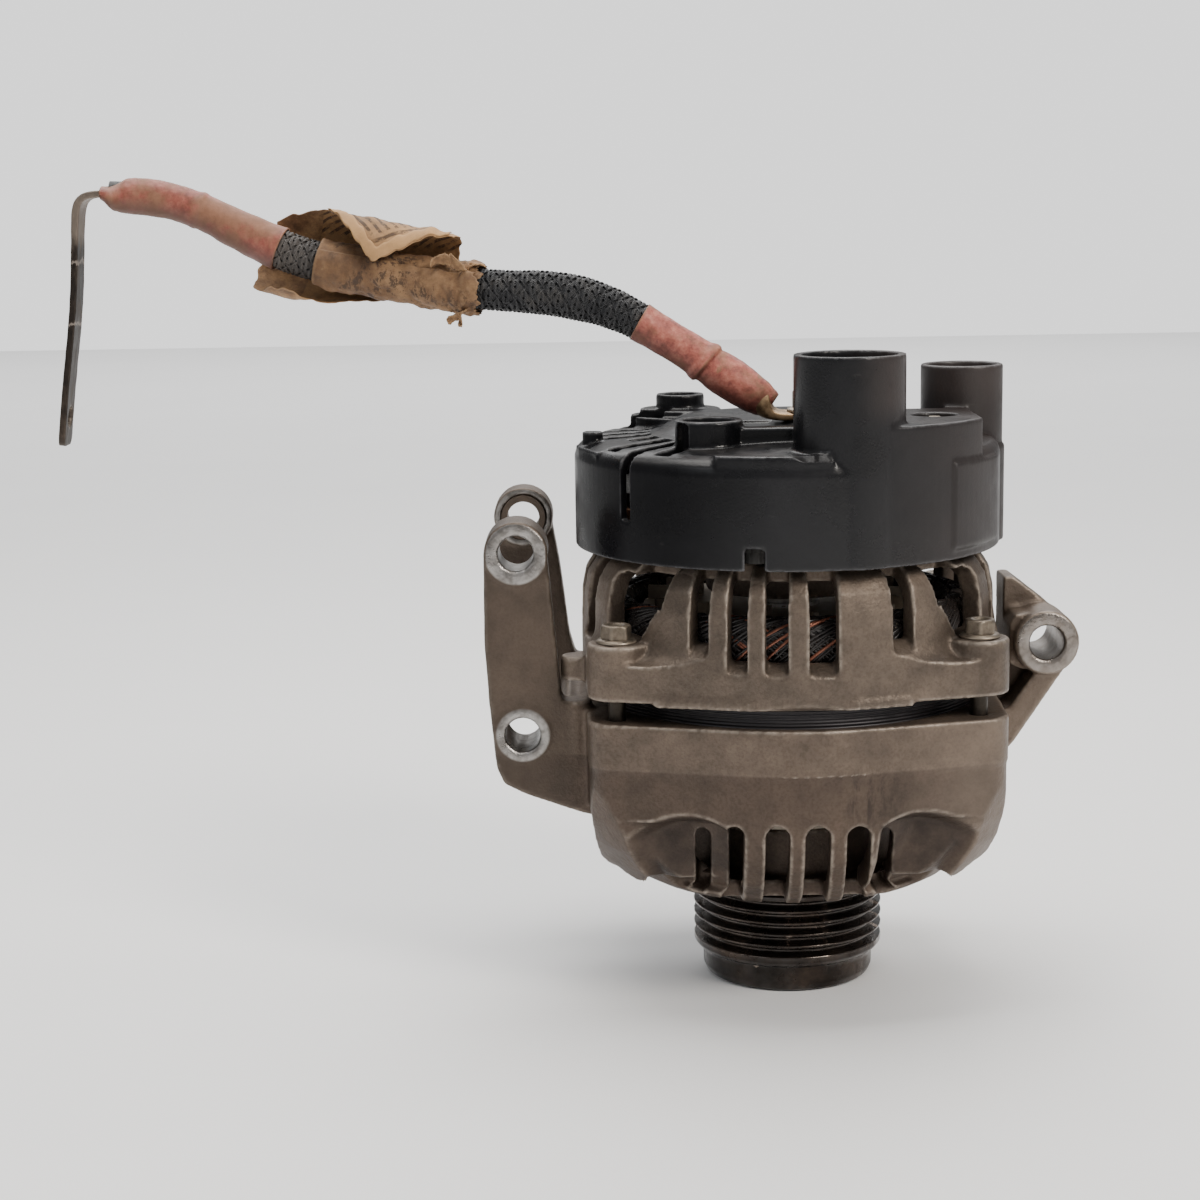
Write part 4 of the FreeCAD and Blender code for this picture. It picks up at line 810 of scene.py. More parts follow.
def pulley_piece():
    pts = [(20.2, 0.0), (23.0, 0.0), (24.9, 0.7), (25.7, 2.6), (25.8, 6.9), (26.3, 8.1), (27.7, 8.9), (28.6, 10.1)]
    for k in range(5):
        z = 13.3 + k * 3.56
        pts += [(28.6, z - 1.5), (26.0, z - 0.42), (26.0, z + 0.42), (28.6, z + 1.5)]
    pts += [(28.6, 30.4), (28.0, 31.0), (20.2, 31.0)]
    prof = rounded(pts, 0.42)
    rnd = random.Random(4)
    nicks = [(rnd.uniform(0, TAU), 11.5 + 3.56 * rnd.randrange(0, 6), rnd.uniform(0.05, 0.16), rnd.uniform(0.015, 0.05)) for _ in range(46)]

    def wobble(a, r, z):
        d = 0.0
        if r > 28.2:
            for na, nz, depth, width in nicks:
                e = abs((a - na + math.pi) % TAU - math.pi)
                if e < width and abs(z - nz) < 0.9:
                    d -= depth * (1 - e / width)
        if r > 22:
            d += 0.025 * turb(9 * math.cos(a), 9 * math.sin(a), z, 0.6)
        return d

    return turned_mesh("pulley_ring_ribbed", prof, 288, wobble=wobble)


pulley = pulley_piece()


def cap_piece():
    """The dust cap: a shallow pressed dish with a rolled edge and a grip recess."""
    prof = [(0.0, 0.55), (6.0, 0.55), (6.6, 0.3), (7.2, 0.1), (15.4, 0.1), (16.2, 0.35), (16.9, 0.75), (17.5, 0.75), (18.1, 0.35), (18.7, 0.08),
            (19.6, 0.04), (20.08, 0.3), (20.12, 2.0), (19.9, 2.2), (18.9, 2.2), (18.75, 1.9), (18.6, 1.4), (0.0, 1.4)]
    steps = 120
    verts, faces = [], []
    n = len(prof)
    for i in range(steps):
        a = TAU * i / steps
        for r, z in prof:
            verts.append((r * math.cos(a) * MM, r * math.sin(a) * MM, z * MM))
    for i in range(steps):
        b = (i + 1) % steps
        for k in range(n - 1):
            faces.append((i * n + k, b * n + k, b * n + k + 1, i * n + k + 1))
    ob = mesh_object("pulley_dust_cap_dish", verts, faces)
    bm = bmesh.new()
    bm.from_mesh(ob.data)
    bmesh.ops.remove_doubles(bm, verts=bm.verts, dist=1e-6)
    bmesh.ops.recalc_face_normals(bm, faces=bm.faces)
    bm.to_mesh(ob.data)
    bm.free()
    ob.data.polygons.foreach_set("use_smooth", [True] * len(ob.data.polygons))
    return ob


cap = cap_piece()


# ------------------------------------------------------------------ fasteners
def hex_head(bm, x, y, z0, z1, corner, turn, dish=True, hole=0.0):
    """A hexagon head: sloped crown, softened corners, a pressed dish or a bore in the middle."""
    flat = corner * math.cos(math.pi / 6)
    n = 72
    rings = []

    def hexr(a, r):
        k = (a - turn) % (math.pi / 3) - math.pi / 6
        h = flat / math.cos(k)
        h = min(h, corner * 0.965)
        return min(h, r) if r else h

    levels = [(z0, None, 0.0), (z0 + 0.25, None, 0.0), (z1 - 0.9, None, 0.0), (z1 - 0.55, flat * 1.075, 0.0), (z1 - 0.25, flat * 1.02, 0.0),
              (z1 - 0.06, flat * 0.96, 0.0), (z1, flat * 0.90, 0.0)]
    if hole:
        levels += [(z1, hole + 0.5, 1.0), (z1 - 0.3, hole + 0.12, 1.0), (z1 - 0.8, hole, 1.0), (z0, hole, 1.0)]
    elif dish:
        levels += [(z1, flat * 0.66, 1.0), (z1 - 0.12, flat * 0.60, 1.0), (z1 - 0.55, flat * 0.48, 1.0), (z1 - 0.7, flat * 0.3, 1.0), (z1 - 0.72, 0.02, 1.0)]
    else:
        levels += [(z1 + 0.03, flat * 0.5, 1.0), (z1 + 0.04, 0.02, 1.0)]
    for z, r, circ in levels:
        ring = []
        for k in range(n):
            a = TAU * k / n
            rad = r if circ else hexr(a, r)
            ring.append(bm.verts.new(((x + rad * math.cos(a)) * MM, (y + rad * math.sin(a)) * MM, z * MM)))
        rings.append(ring)
    pairs = list(zip(rings, rings[1:]))
    if hole:
        pairs.append((rings[-1], rings[0]))
    for a, b in pairs:
        for k in range(n):
            bm.faces.new((a[k], a[(k + 1) % n], b[(k + 1) % n], b[k]))
    if not hole:
        bm.faces.new(list(reversed(rings[0])))
        bm.faces.new(rings[-1])


def lathe(bm, x, y, profile, n=64):
    """A turned closed solid whose profile starts and ends on its axis."""
    rings = []
    for r, z in profile:
        rings.append([bm.verts.new(((x + r * math.cos(TAU * k / n)) * MM, (y + r * math.sin(TAU * k / n)) * MM, z * MM)) for k in range(n)])
    for a, b in zip(rings, rings[1:]):
        for k in range(n):
            bm.faces.new((a[k], a[(k + 1) % n], b[(k + 1) % n], b[k]))
    bm.faces.new(list(reversed(rings[0])))
    bm.faces.new(rings[-1])


def finish_mesh(name, bm, angle=32):
    bmesh.ops.recalc_face_normals(bm, faces=bm.faces)
    me = bpy.data.meshes.new(name)
    bm.to_mesh(me)
    bm.free()
    ob = link(bpy.data.objects.new(name, me))
    me.polygons.foreach_set("use_smooth", [True] * len(me.polygons))
    me.set_sharp_from_angle(angle=math.radians(angle))
    return ob


def bolts_piece():
    bm = bmesh.new()
    rnd = random.Random(9)
    for sx in (-1, 1):
        for sy in (-1, 1):
            x, y = sx * 51.6, sy * 41.6
            hex_head(bm, x, y, 111.5, 115.7, 4.62, rnd.uniform(0, 1) if sy > 0 else (0.18 if sx < 0 else 0.42))
            lathe(bm, x, y, [(3.0, 110.5), (5.6, 110.5), (5.8, 110.7), (5.75, 111.05), (5.5, 111.3), (4.9, 111.7), (4.2, 111.8), (0.05, 111.8)])
            shank = [(1.2, 62.0), (2.1, 62.6), (2.48, 63.2)]
            z = 63.2
            while z < 84.0:
                shank += [(2.48, z + 0.1), (2.12, z + 0.4), (2.48, z + 0.7)]
                z += 0.8
            shank += [(2.48, 84.4), (2.48, 110.9)]
            lathe(bm, x, y, shank, 24)
    return finish_mesh("through_bolts_flanged", bm, 40)


bolts = bolts_piece()


def nuts_piece():
    bm = bmesh.new()
    for (x, y), z, turn in (((-24.4, -33.0), 163.6, 0.2), ((-30.3, 30.0), 166.4, 0.5), ((41.0, -22.0), 166.4, 0.9)):
        hex_head(bm, x, y, z, z + 3.6, 4.6, turn, hole=2.5)
    return finish_mesh("cover_nuts_hex", bm)


cover_nuts = nuts_piece()


def output_nut_piece():
    bm = bmesh.new()
    hex_head(bm, *STUD, 174.3, 179.8, 7.2, 0.0, hole=4.05)
    ob = finish_mesh("output_nut_hex", bm)
    ring = turned_mesh("ring", [(4.1, 173.32), (8.3, 173.32), (8.55, 173.6), (8.3, 174.1), (7.0, 174.5), (4.1, 174.5)], 64, STUD)
    b = bmesh.new()
    b.from_mesh(ob.data)
    b.from_mesh(ring.data)
    b.to_mesh(ob.data)
    b.free()
    bpy.data.objects.remove(ring)
    return ob


output_nut = output_nut_piece()


def thread(name, x, y, z0, z1, r, pitch, depth, base):
    """A studded length: rolled thread ridges on a plain stem."""
    prof = [(r - 0.6, base), (r - 0.1, base + 0.05), (r - 0.1, z0)]
    z = z0
    while z < z1 - pitch:
        prof += [(r - depth, z + pitch * 0.25), (r, z + pitch * 0.62), (r, z + pitch * 0.8)]
        z += pitch
    prof += [(r - depth, z1 - 0.5), (r - 0.9, z1), (0.05, z1 + 0.02)]
    prof.insert(0, (0.05, base))
    bm = bmesh.new()
    lathe(bm, x, y, prof, 48)
    return finish_mesh(name, bm, 60)


stud = thread("output_stud_thread", *STUD, 156.0, 182.4, 4.0, 1.25, 0.5, 144.6)
bm = bmesh.new()
bm.from_mesh(stud.data)
hex_head(bm, *STUD, 150.6, 156.0, 7.2, 0.0)
hex_head(bm, *STUD, 143.4, 147.6, 6.6, 0.0)
bm.to_mesh(stud.data)
bm.free()
cover_stud = thread("cover_studs_thread", -24.4, -33.0, 158.0, 168.6, 2.48, 0.8, 0.34, 131.0)
for i, (x, y, top) in enumerate(((-30.3, 30.0, 171.4), (41.0, -22.0, 171.4))):
    other = thread("cover_studs_more_%d" % i, x, y, 158.0, top, 2.48, 0.8, 0.34, 131.0)
    b = bmesh.new()
    b.from_mesh(cover_stud.data)
    b.from_mesh(other.data)
    b.to_mesh(cover_stud.data)
    b.free()
    bpy.data.objects.remove(other)


# ------------------------------------------------------------------ stator winding
def winding():
    """Both coil heads: strands that climb out of a slot, lean over the head and come back three slots on."""
    verts, faces, tone = [], [], []
    rnd = random.Random(12)

    def strand(points, r, value, side=6):
        base = len(verts)
        pts = np.array(points)
        t = np.gradient(pts, axis=0)
        t /= np.linalg.norm(t, axis=1)[:, None]
        for p, d in zip(pts, t):
            a = np.cross(d, (0.3, 0.2, 0.93))
            a /= np.linalg.norm(a)
            b = np.cross(d, a)
            for k in range(side):
                w = TAU * k / side
                verts.append((p + (a * math.cos(w) + b * math.sin(w)) * r) * MM)
                tone.append(value)
        for i in range(len(pts) - 1):
            for k in range(side):
                q0, q1 = base + i * side + k, base + i * side + (k + 1) % side
                faces.append((q0, q1, q1 + side, q0 + side))
        faces.append(tuple(reversed(range(base, base + side))))
        faces.append(tuple(range(base + (len(pts) - 1) * side, base + len(pts) * side)))

    for foot, way in ((106.0, 1), (72.0, -1)):
        for layer in range(2):
            for slot_no in range(36):
                for k in range(5):
                    value = rnd.random()
                    a0 = math.radians(slot_no * 10 + (k - 2) * 1.5 + rnd.uniform(-0.5, 0.5))
                    lean = (1 if layer == 0 else -1) * math.radians(rnd.uniform(24, 34))
                    out = (0.15 if layer == 0 else -0.2) + rnd.uniform(-0.15, 0.15)
                    up = rnd.uniform(-0.3, 0.3)
                    pts = []
                    for i in range(15):
                        u = i / 14
                        c0, c1, c2, c3 = (1 - u) ** 3, 3 * u * (1 - u) ** 2, 3 * u * u * (1 - u), u ** 3
                        rad = c0 * 54.1 + c1 * 54.9 + c2 * 54.0 + c3 * 49.2 + out
                        z = foot + way * (c0 * -0.6 + c1 * 8.5 + c2 * 12.6 + c3 * 11.9 + up * u)
                        a = a0 + lean * u
                        pts.append((rad * math.cos(a), rad * math.sin(a), z))
                    strand(pts, 0.52, value)
        # lacing cord round the head
        lace = []
        for i in range(36 * 14 + 1):
            u = i / (36 * 14)
            a = TAU * u
            w = TAU * u * 36
            lace.append(((50.1 + 3.9 * math.cos(w)) * math.cos(a), (50.1 + 3.9 * math.cos(w)) * math.sin(a), foot + way * (8.4 + 2.9 * math.sin(w))))
        strand(lace, 0.3, -1.0, 5)
    ob = mesh_object("stator_winding_strands", verts, faces)
    at = ob.data.attributes.new("tone", "FLOAT", "POINT")
    at.data.foreach_set("value", tone)
    return ob


coil = winding()


# ------------------------------------------------------------------ brush springs
def spring_piece(name, z):
    """A round-wire coil spring with a closed turn at each end, lying along X."""
    curve = bpy.data.curves.new(name + "_wire", "CURVE")
    curve.dimensions = "3D"
    sp = curve.splines.new("POLY")
    pts = []
    turns, n = 7.4, 260
    for i in range(n + 1):
        u = i / n
        a = TAU * turns * u
        # closed turns at the ends, open ones between
        x = 22.35 + 8.3 * (0.06 * smoothstep(0, 0.13, u) + 0.88 * min(1, max(0, (u - 0.10) / 0.80)) + 0.06 * smoothstep(0.87, 1, u))
        pts.append((x, 1.7 * math.cos(a), z + 1.7 * math.sin(a)))
    sp.points.add(len(pts) - 1)
    for q, p in zip(sp.points, pts):
        q.co = (p[0] * MM, p[1] * MM, p[2] * MM, 1)
    curve.bevel_depth = 0.3 * MM
    curve.bevel_resolution = 3
    curve.use_fill_caps = True
    tmp = link(bpy.data.objects.new(name + "_tmp", curve))
    me = evaluated(tmp)
    bpy.data.objects.remove(tmp)
    me.name = name
    ob = link(bpy.data.objects.new(name, me))
    ob.data.polygons.foreach_set("use_smooth", [True] * len(ob.data.polygons))
    return ob


springs = [spring_piece("brush_spring_lower_coil", 142.5), spring_piece("brush_spring_upper_coil", 152.5)]


# ------------------------------------------------------------------ castings and the moulded cover
def remade(node, name, voxel, rounds, extra=None):
    """A cast or moulded skin: the CAD shape with its edges and inner corners softened."""
    src = NODES[node]
    bm = bmesh.new()
    bm.from_mesh(src.data)
    bmesh.ops.remove_doubles(bm, verts=bm.verts, dist=2e-6)
    me = bpy.data.meshes.new(name)
    bm.to_mesh(me)
    bm.free()
    ob = link(bpy.data.objects.new(name, me))
    for tool in extra or []:
        m = ob.modifiers.new("cut", "BOOLEAN")
        m.operation, m.solver, m.object = "DIFFERENCE", "EXACT", tool
    m = ob.modifiers.new("skin", "REMESH")
    m.mode = "VOXEL"
    m.voxel_size = voxel * 1.0 * MM
    m.use_smooth_shade = True
    m = ob.modifiers.new("soft", "SMOOTH")
    m.factor = 0.5
    m.iterations = rounds
    bake(ob)
    for tool in extra or []:
        bpy.data.objects.remove(tool)
    ob.data.polygons.foreach_set("use_smooth", [True] * len(ob.data.polygons))
    return ob


def sector_tool(name, outline, r0, r1):
    """A solid between two radii whose outline is given as (angle, height) points."""
    verts, faces = [], []
    n = len(outline)
    for r in (r0, r1):
        for a, z in outline:
            verts.append((r * math.cos(math.radians(a)) * MM, r * math.sin(math.radians(a)) * MM, z * MM))
    faces.append(tuple(range(n)))
    faces.append(tuple(reversed(range(n, 2 * n))))
    for k in range(n):
        q = (k + 1) % n
        faces.append((k, k + n, q + n, q))
    ob = mesh_object(name, verts, faces, smooth=False)
    fix_normals(ob)
    return ob


def grain(co, scale, depth, seed=0.0):
    """A height for each point from cheap layered sine fields, even and repeatable."""
    x, y, z = (co * S).T
    v = np.zeros(len(co))
    for k, (f, w) in enumerate(((1.0, 1.0), (1.9, 0.55), (3.7, 0.3))):
        q = f / scale
        v += w * (np.sin(q * x * 1.3 + 3.1 * np.sin(q * y * 0.9 + seed + k)) * np.sin(q * y * 1.1 + 2.3 * np.sin(q * z * 1.2 + k))
                  * np.sin(q * z * 1.0 + 2.7 * np.sin(q * x * 0.8 + seed)))
    return v * depth * MM


def push(ob, amount):
    """Moves each point of a mesh out along its normal."""
    me = ob.data
    n = np.zeros(len(me.vertices) * 3, np.float32)
    me.vertex_normals.foreach_get("vector", n)
    co = co_of(me)
    put_co(me, co + n.reshape(-1, 3) * amount[:, None])


def block(bm, x0, x1, y0, y1, z0, z1):
    vs = [bm.verts.new((x * MM, y * MM, z * MM)) for x in (x0, x1) for y in (y0, y1) for z in (z0, z1)]
    for q in ((0, 1, 3, 2), (4, 6, 7, 5), (0, 4, 5, 1), (2, 3, 7, 6), (0, 2, 6, 4), (1, 5, 7, 3)):
        bm.faces.new([vs[i] for i in q])


front = remade("front_housing", "front_housing_casting", 0.72, 3)
co = co_of(front.data)
x, y, z = (co * S).T
r = np.hypot(x, y)
ang = np.degrees(np.arctan2(y, x))
# the two scoops either side of the row of slots: the wall sinks towards the nose
sink = np.zeros(len(co))
for centre, lo, hi in ((-120.5, -136.0, -108.5), (-58.0, -69.5, -42.0)):
    wide = smoothstep(lo, lo + 4, ang) * (1 - smoothstep(hi - 4, hi, ang))
    top = 63.4 - 0.034 * (ang - centre) ** 2
    sink = np.maximum(sink, wide * (1 - smoothstep(top - 3.4, top, z)) * smoothstep(35, 39, z) * smoothstep(43, 47, r))
shift = 4.6 * sink
shade = front.data.attributes.new("scoop", "FLOAT", "POINT")
shade.data.foreach_set("value", np.clip(sink * smoothstep(38.0, 46.0, z), 0, 1).astype(np.float32))
co[:, 0] -= np.cos(np.radians(ang)) * shift * MM
co[:, 1] -= np.sin(np.radians(ang)) * shift * MM
# flash left on the parting line in front
lip = np.exp(-((z - 75.1) / 0.35) ** 2) * smoothstep(-8, -5, x) * (1 - smoothstep(16, 21, x)) * (y < -50) * (r > 58)
co[:, 1] -= lip * (0.35 + 0.2 * np.sin(x * 1.9)) * MM
put_co(front.data, co)
push(front, grain(co, 5.0, 0.035) + grain(co, 1.6, 0.018, 2.0))

left_window = [(-151.5, 111.2), (-137.2, 111.2), (-133.6, 117.0), (-129.5, 123.0), (-129.2, 136.0), (-139.8, 136.0), (-142.0, 129.0), (-150.5, 128.0)]
rear = remade("rear_housing", "rear_housing_casting", 0.70, 3,
              [sector_tool("left_cutter", left_window, 50.9, 70.0),
               sector_tool("right_cutter", [(-180 - a, z) for a, z in left_window], 50.9, 70.0)])
co = co_of(rear.data)
push(rear, grain(co, 5.0, 0.045, 4.0) + grain(co, 1.6, 0.022, 1.0))

cover = remade("rear_cover", "rear_cover_moulding", 0.58, 2)
# the raised front rim runs out where it meets the tall socket
co = co_of(cover.data)
x, y, z = (co * S).T
rim = (np.hypot(x, y) > 61.3) & (x > -4) & (x < 9.5) & (y < 0) & (z > 163.2) & (z < 166)
fade = 1 - smoothstep(-3.5, 1.0, x)
co[rim, 2] = (163.2 + (z[rim] - 163.2) * (0.04 + 0.96 * fade[rim])) * MM
put_co(cover.data, co)

print("faces", len(front.data.polygons), len(rear.data.polygons), len(cover.data.polygons))


# ------------------------------------------------------------------ materials
def cast_metal(name, upper, lower, bores, split=None):
    m = Mat(name)
    _, _, z = m.xyz()
    nrm = m.node("ShaderNodeSeparateXYZ")
    m.join(m.geo.outputs["Normal"], nrm.inputs[0])
    ny, nz = nrm.outputs[1], nrm.outputs[2]
    broad = m.noise(26, 5, 0.6)
    mid = m.noise(150, 5, 0.6)
    fine = m.noise(1100, 3, 0.6)
    blotch = m.calc("ADD", m.calc("MULTIPLY", broad, 0.62), m.calc("MULTIPLY", mid, 0.38))
    tone = m.ramp(blotch, [(0.36, tuple(c * 0.62 for c in upper)), (0.50, upper), (0.62, tuple(min(1, c * 1.38) for c in upper))])
    if split:
        low = m.ramp(blotch, [(0.36, tuple(c * 0.6 for c in lower)), (0.50, lower), (0.64, tuple(min(1, c * 1.35) for c in lower))])
        tone = m.mix(m.span(z, split - 0.0004, split + 0.0006), low, tone)
    tone = m.mix(m.calc("MULTIPLY", m.span(fine, 0.42, 0.66), 0.35), tone, m.mix(1.0, tone, (0.55, 0.50, 0.46), "MULTIPLY"))
    # darker in the hollows: painted shade with dust and oil; paler along the edges: painted highlight with wear
    hollow = m.span(m.geo.outputs["Pointiness"], 0.40, 0.495, 1.0, 0.0)
    dirt_and_shade = m.calc("MULTIPLY", hollow, m.span(mid, 0.25, 0.62, 0.55, 1.0), clamp=True)
    tone = m.mix(m.calc("MULTIPLY", dirt_and_shade, 0.82), tone, (0.020, 0.015, 0.012))
    edge_wear_and_highlight = m.calc("MULTIPLY", m.edge(0.509, 0.55), m.span(m.noise(420, 4, 0.6), 0.34, 0.60, 0.30, 1.0))
    tone = m.mix(m.calc("MULTIPLY", edge_wear_and_highlight, 0.56), tone, (0.42, 0.36, 0.30))
    if split:
        # the bracket side is darker and browner
        bracket = m.span(m.xyz()[0], -0.070, -0.060, 1.0, 0.0)
        tone = m.mix(m.calc("MULTIPLY", bracket, 0.72), tone, m.mix(mid, (0.036, 0.026, 0.019), (0.082, 0.060, 0.044)))
    # machined ring faces round the mounting bores
    ring_mask = None
    for point, r_face in bores:
        face = m.calc("MULTIPLY", m.near(point, r_face - 0.0005, r_face + 0.0004, "y"), m.span(ny, -0.93, -0.80, 1.0, 0.0))
        wall = m.calc("MULTIPLY", m.near(point, 0.0056, 0.0062, "y"), m.span(m.xyz()[1], 0.020, 0.021, 1.0, 0.0))
        face = m.calc("MAXIMUM", face, wall)
        ring_mask = face if ring_mask is None else m.calc("MAXIMUM", ring_mask, face)
    ringed = m.mix(m.span(m.noise(300, 4), 0.35, 0.7), (0.33, 0.315, 0.30), (0.17, 0.158, 0.146))
    tone = m.mix(ring_mask, tone, ringed)
    if split:
        # the scoops are darker: painted shade in the recess, and oil
        scoop = m.calc("MULTIPLY", m.attr("scoop"), m.span(mid, 0.25, 0.65, 0.95, 0.55))
        tone = m.mix(scoop, tone, m.mix(mid, (0.016, 0.011, 0.009), (0.050, 0.035, 0.027)))
        # the flank towards the ear is paler
        paler_flank = m.calc("MULTIPLY", m.span(m.xyz()[0], 0.022, 0.052), m.span(m.attr("scoop"), 0.02, 0.3, 1.0, 0.0))
        tone = m.mix(m.calc("MULTIPLY", paler_flank, 0.42), tone, m.mix(mid, (0.135, 0.103, 0.080), (0.225, 0.178, 0.140)))
    # oily stain that ran down below the flash
    stain = m.calc("MULTIPLY", m.near((0.0195, -0.060, 0.068), 0.004, 0.012), m.span(m.noise(320, 5, 0.7, m.stretch(1, 1, 0.25)), 0.42, 0.6))
    tone = m.mix(m.calc("MULTIPLY", stain, 0.7), tone, (0.025, 0.018, 0.014))
    rough = m.calc("ADD", m.span(broad, 0.3, 0.7, 0.34, 0.50), m.calc("MULTIPLY", fine, 0.12))
    rough = m.calc("SUBTRACT", rough, m.calc("MULTIPLY", ring_mask, 0.18))
    bump = m.bump(m.noise(620, 4, 0.7), 0.00022, 0.75)
    bump = m.bump(fine, 0.00014, 0.9, bump)
    bump = m.bump(m.cells(240, feature="SMOOTH_F1"), 0.00018, 0.25, bump)
    return m.out(tone, rough, m.calc("ADD", 0.55, m.calc("MULTIPLY", ring_mask, 0.4)), bump)


BORES_F = [((-0.080, 0, 0.1346), 0.0090), ((-0.079, 0, 0.0812), 0.0078), ((0.075, 0, 0.104), 0.0094)]
cast_front = cast_metal("cast_front", (0.120, 0.090, 0.068), (0.076, 0.054, 0.040), BORES_F, 0.0750)
cast_rear = cast_metal("cast_rear", (0.115, 0.088, 0.067), (0.2, 0.16, 0.12), [((0, 9, 0), 0.0005)])
dress(front, cast_front)
dress(rear, cast_rear)


def moulded_black(name, dusty=1.0, tone=(0.0052, 0.0052, 0.0062)):
    m = Mat(name)
    nrm = m.node("ShaderNodeSeparateXYZ")
    m.join(m.geo.outputs["Normal"], nrm.inputs[0])
    broad = m.noise(30, 5, 0.6)
    base = m.ramp(broad, [(0.35, tuple(c * 0.75 for c in tone)), (0.65, tuple(c * 1.5 for c in tone))])
    dust = m.calc("MULTIPLY", m.span(nrm.outputs[2], 0.45, 0.98), m.span(m.noise(75, 6, 0.7), 0.40, 0.70, 0.05, 0.8))
    base = m.mix(m.calc("MULTIPLY", dust, 0.40 * dusty), base, (0.060, 0.054, 0.050))
    # painted reflection: browner and lighter towards the ear's side, standing in for the warm light there; duller there
    # too
    x = m.xyz()[0]
    far = m.calc("MULTIPLY", m.span(x, 0.012, 0.062), m.span(m.noise(38, 4, 0.6), 0.3, 0.7, 0.6, 1.0))
    base = m.mix(m.calc("MULTIPLY", far, 0.75), base, (0.030, 0.0225, 0.0205))
    # painted reflection: the socket's top on the ear's side lighter and browner
    painted_socket_reflection = m.calc("MULTIPLY", m.span(m.xyz()[2], 0.171, 0.180), m.span(x, 0.012, 0.027))
    base = m.mix(m.calc("MULTIPLY", painted_socket_reflection, 0.75), base, (0.036, 0.028, 0.026))
    # paler edges: painted highlight along them, and wear
    edge_wear_and_highlight = m.calc("MULTIPLY", m.edge(0.515, 0.57), m.span(m.noise(240, 5, 0.7), 0.35, 0.62, 0.2, 1.0))
    base = m.mix(m.calc("MULTIPLY", edge_wear_and_highlight, 0.45), base, (0.24, 0.24, 0.25))
    scuff = m.calc("MULTIPLY", m.span(m.noise(90, 8, 0.75, m.stretch(1, 1, 3.5, turn=(0.3, 0.2, 0.1))), 0.62, 0.74), 0.20)
    base = m.mix(scuff, base, (0.09, 0.085, 0.08))
    rough = m.calc("ADD", m.span(m.noise(60, 5, 0.65), 0.3, 0.7, 0.22, 0.36), m.calc("MULTIPLY", dust, 0.22))
    rough = m.calc("ADD", rough, m.calc("MULTIPLY", far, 0.12))
    bump = m.bump(m.noise(1500, 2, 0.5), 0.00006, 0.5)
    bump = m.bump(m.noise(45, 3, 0.5), 0.0005, 0.18, bump)
    # the side walls seen edge-on stay dark
    facing = m.node("ShaderNodeLayerWeight")
    facing.inputs["Blend"].default_value = 0.5
    gloss = m.span(facing.outputs["Facing"], 0.35, 0.85, 0.34, 0.10)
    shaded = m.calc("MULTIPLY", m.span(nrm.outputs[2], 0.25, 0.60, 1.0, 0.0), m.span(x, -0.042, -0.004, 0.72, 0.0))
    gloss = m.calc("MULTIPLY", gloss, m.calc("SUBTRACT", 1.0, shaded))
    return m.out(base, rough, 0.0, bump, spec=gloss)


black = moulded_black("moulded_black")
dress(cover, black)


def metal(name, light, dark, rough=(0.25, 0.45), spot=220, bump_mm=0.05, grainy=900, metallic=1.0, edge_wear_and_highlight=0.5, stretchy=None, grime_and_shade=(0.02, 0.017, 0.014), low=None):
    m = Mat(name)
    vec = m.stretch(*stretchy) if stretchy else None
    broad = m.noise(spot, 6, 0.65, vec)
    fine = m.noise(grainy, 4, 0.6, vec)
    tone = m.ramp(broad, [(0.34, dark), (0.62, light)])
    # darker in the hollows: painted shade with grime; paler edges: painted highlight with wear
    hollow = m.span(m.geo.outputs["Pointiness"], 0.40, 0.495, 1.0, 0.0)
    tone = m.mix(m.calc("MULTIPLY", hollow, 0.7), tone, grime_and_shade)
    tone = m.mix(m.calc("MULTIPLY", m.edge(0.515, 0.58), edge_wear_and_highlight), tone, tuple(min(1.0, c * 1.7 + 0.05) for c in light))
    if low:
        # the length below this height sits in the shade and oil of the gap
        tone = m.mix(m.span(m.xyz()[2], low - 0.002, low, 0.8, 0.0), tone, (0.012, 0.010, 0.009))
    r = m.calc("ADD", m.span(broad, 0.3, 0.7, rough[0], rough[1]), m.calc("MULTIPLY", fine, 0.08))
    bump = m.bump(fine, bump_mm * MM, 0.6)
    bump = m.bump(broad, bump_mm * MM * 2, 0.3, bump)
    return m.out(tone, r, metallic, bump)


steel = metal("machined_steel", (0.60, 0.58, 0.55), (0.36, 0.34, 0.32), (0.22, 0.36), stretchy=(1, 1, 6))
zinc = metal("zinc_plate", (0.30, 0.26, 0.21), (0.12, 0.10, 0.08), (0.34, 0.55), spot=420, edge_wear_and_highlight=0.6, metallic=0.85)
bolt_metal = metal("bolt_zinc", (0.20, 0.165, 0.125), (0.085, 0.068, 0.052), (0.30, 0.5), spot=500, edge_wear_and_highlight=0.7, metallic=0.8, low=0.1095)
brass = metal("tinned_brass", (0.36, 0.24, 0.135), (0.17, 0.105, 0.055), (0.30, 0.5), spot=380, metallic=0.85)
iron = metal("forged_iron", (0.13, 0.12, 0.11), (0.06, 0.052, 0.046), (0.45, 0.65), spot=260, bump_mm=0.12, metallic=0.7)
alu_plate = metal("stamped_aluminium", (0.060, 0.058, 0.056), (0.022, 0.021, 0.020), (0.40, 0.58), stretchy=(5, 1, 1))
carbon = metal("pressed_carbon", (0.05, 0.05, 0.053), (0.028, 0.028, 0.03), (0.4, 0.6), metallic=0.2)


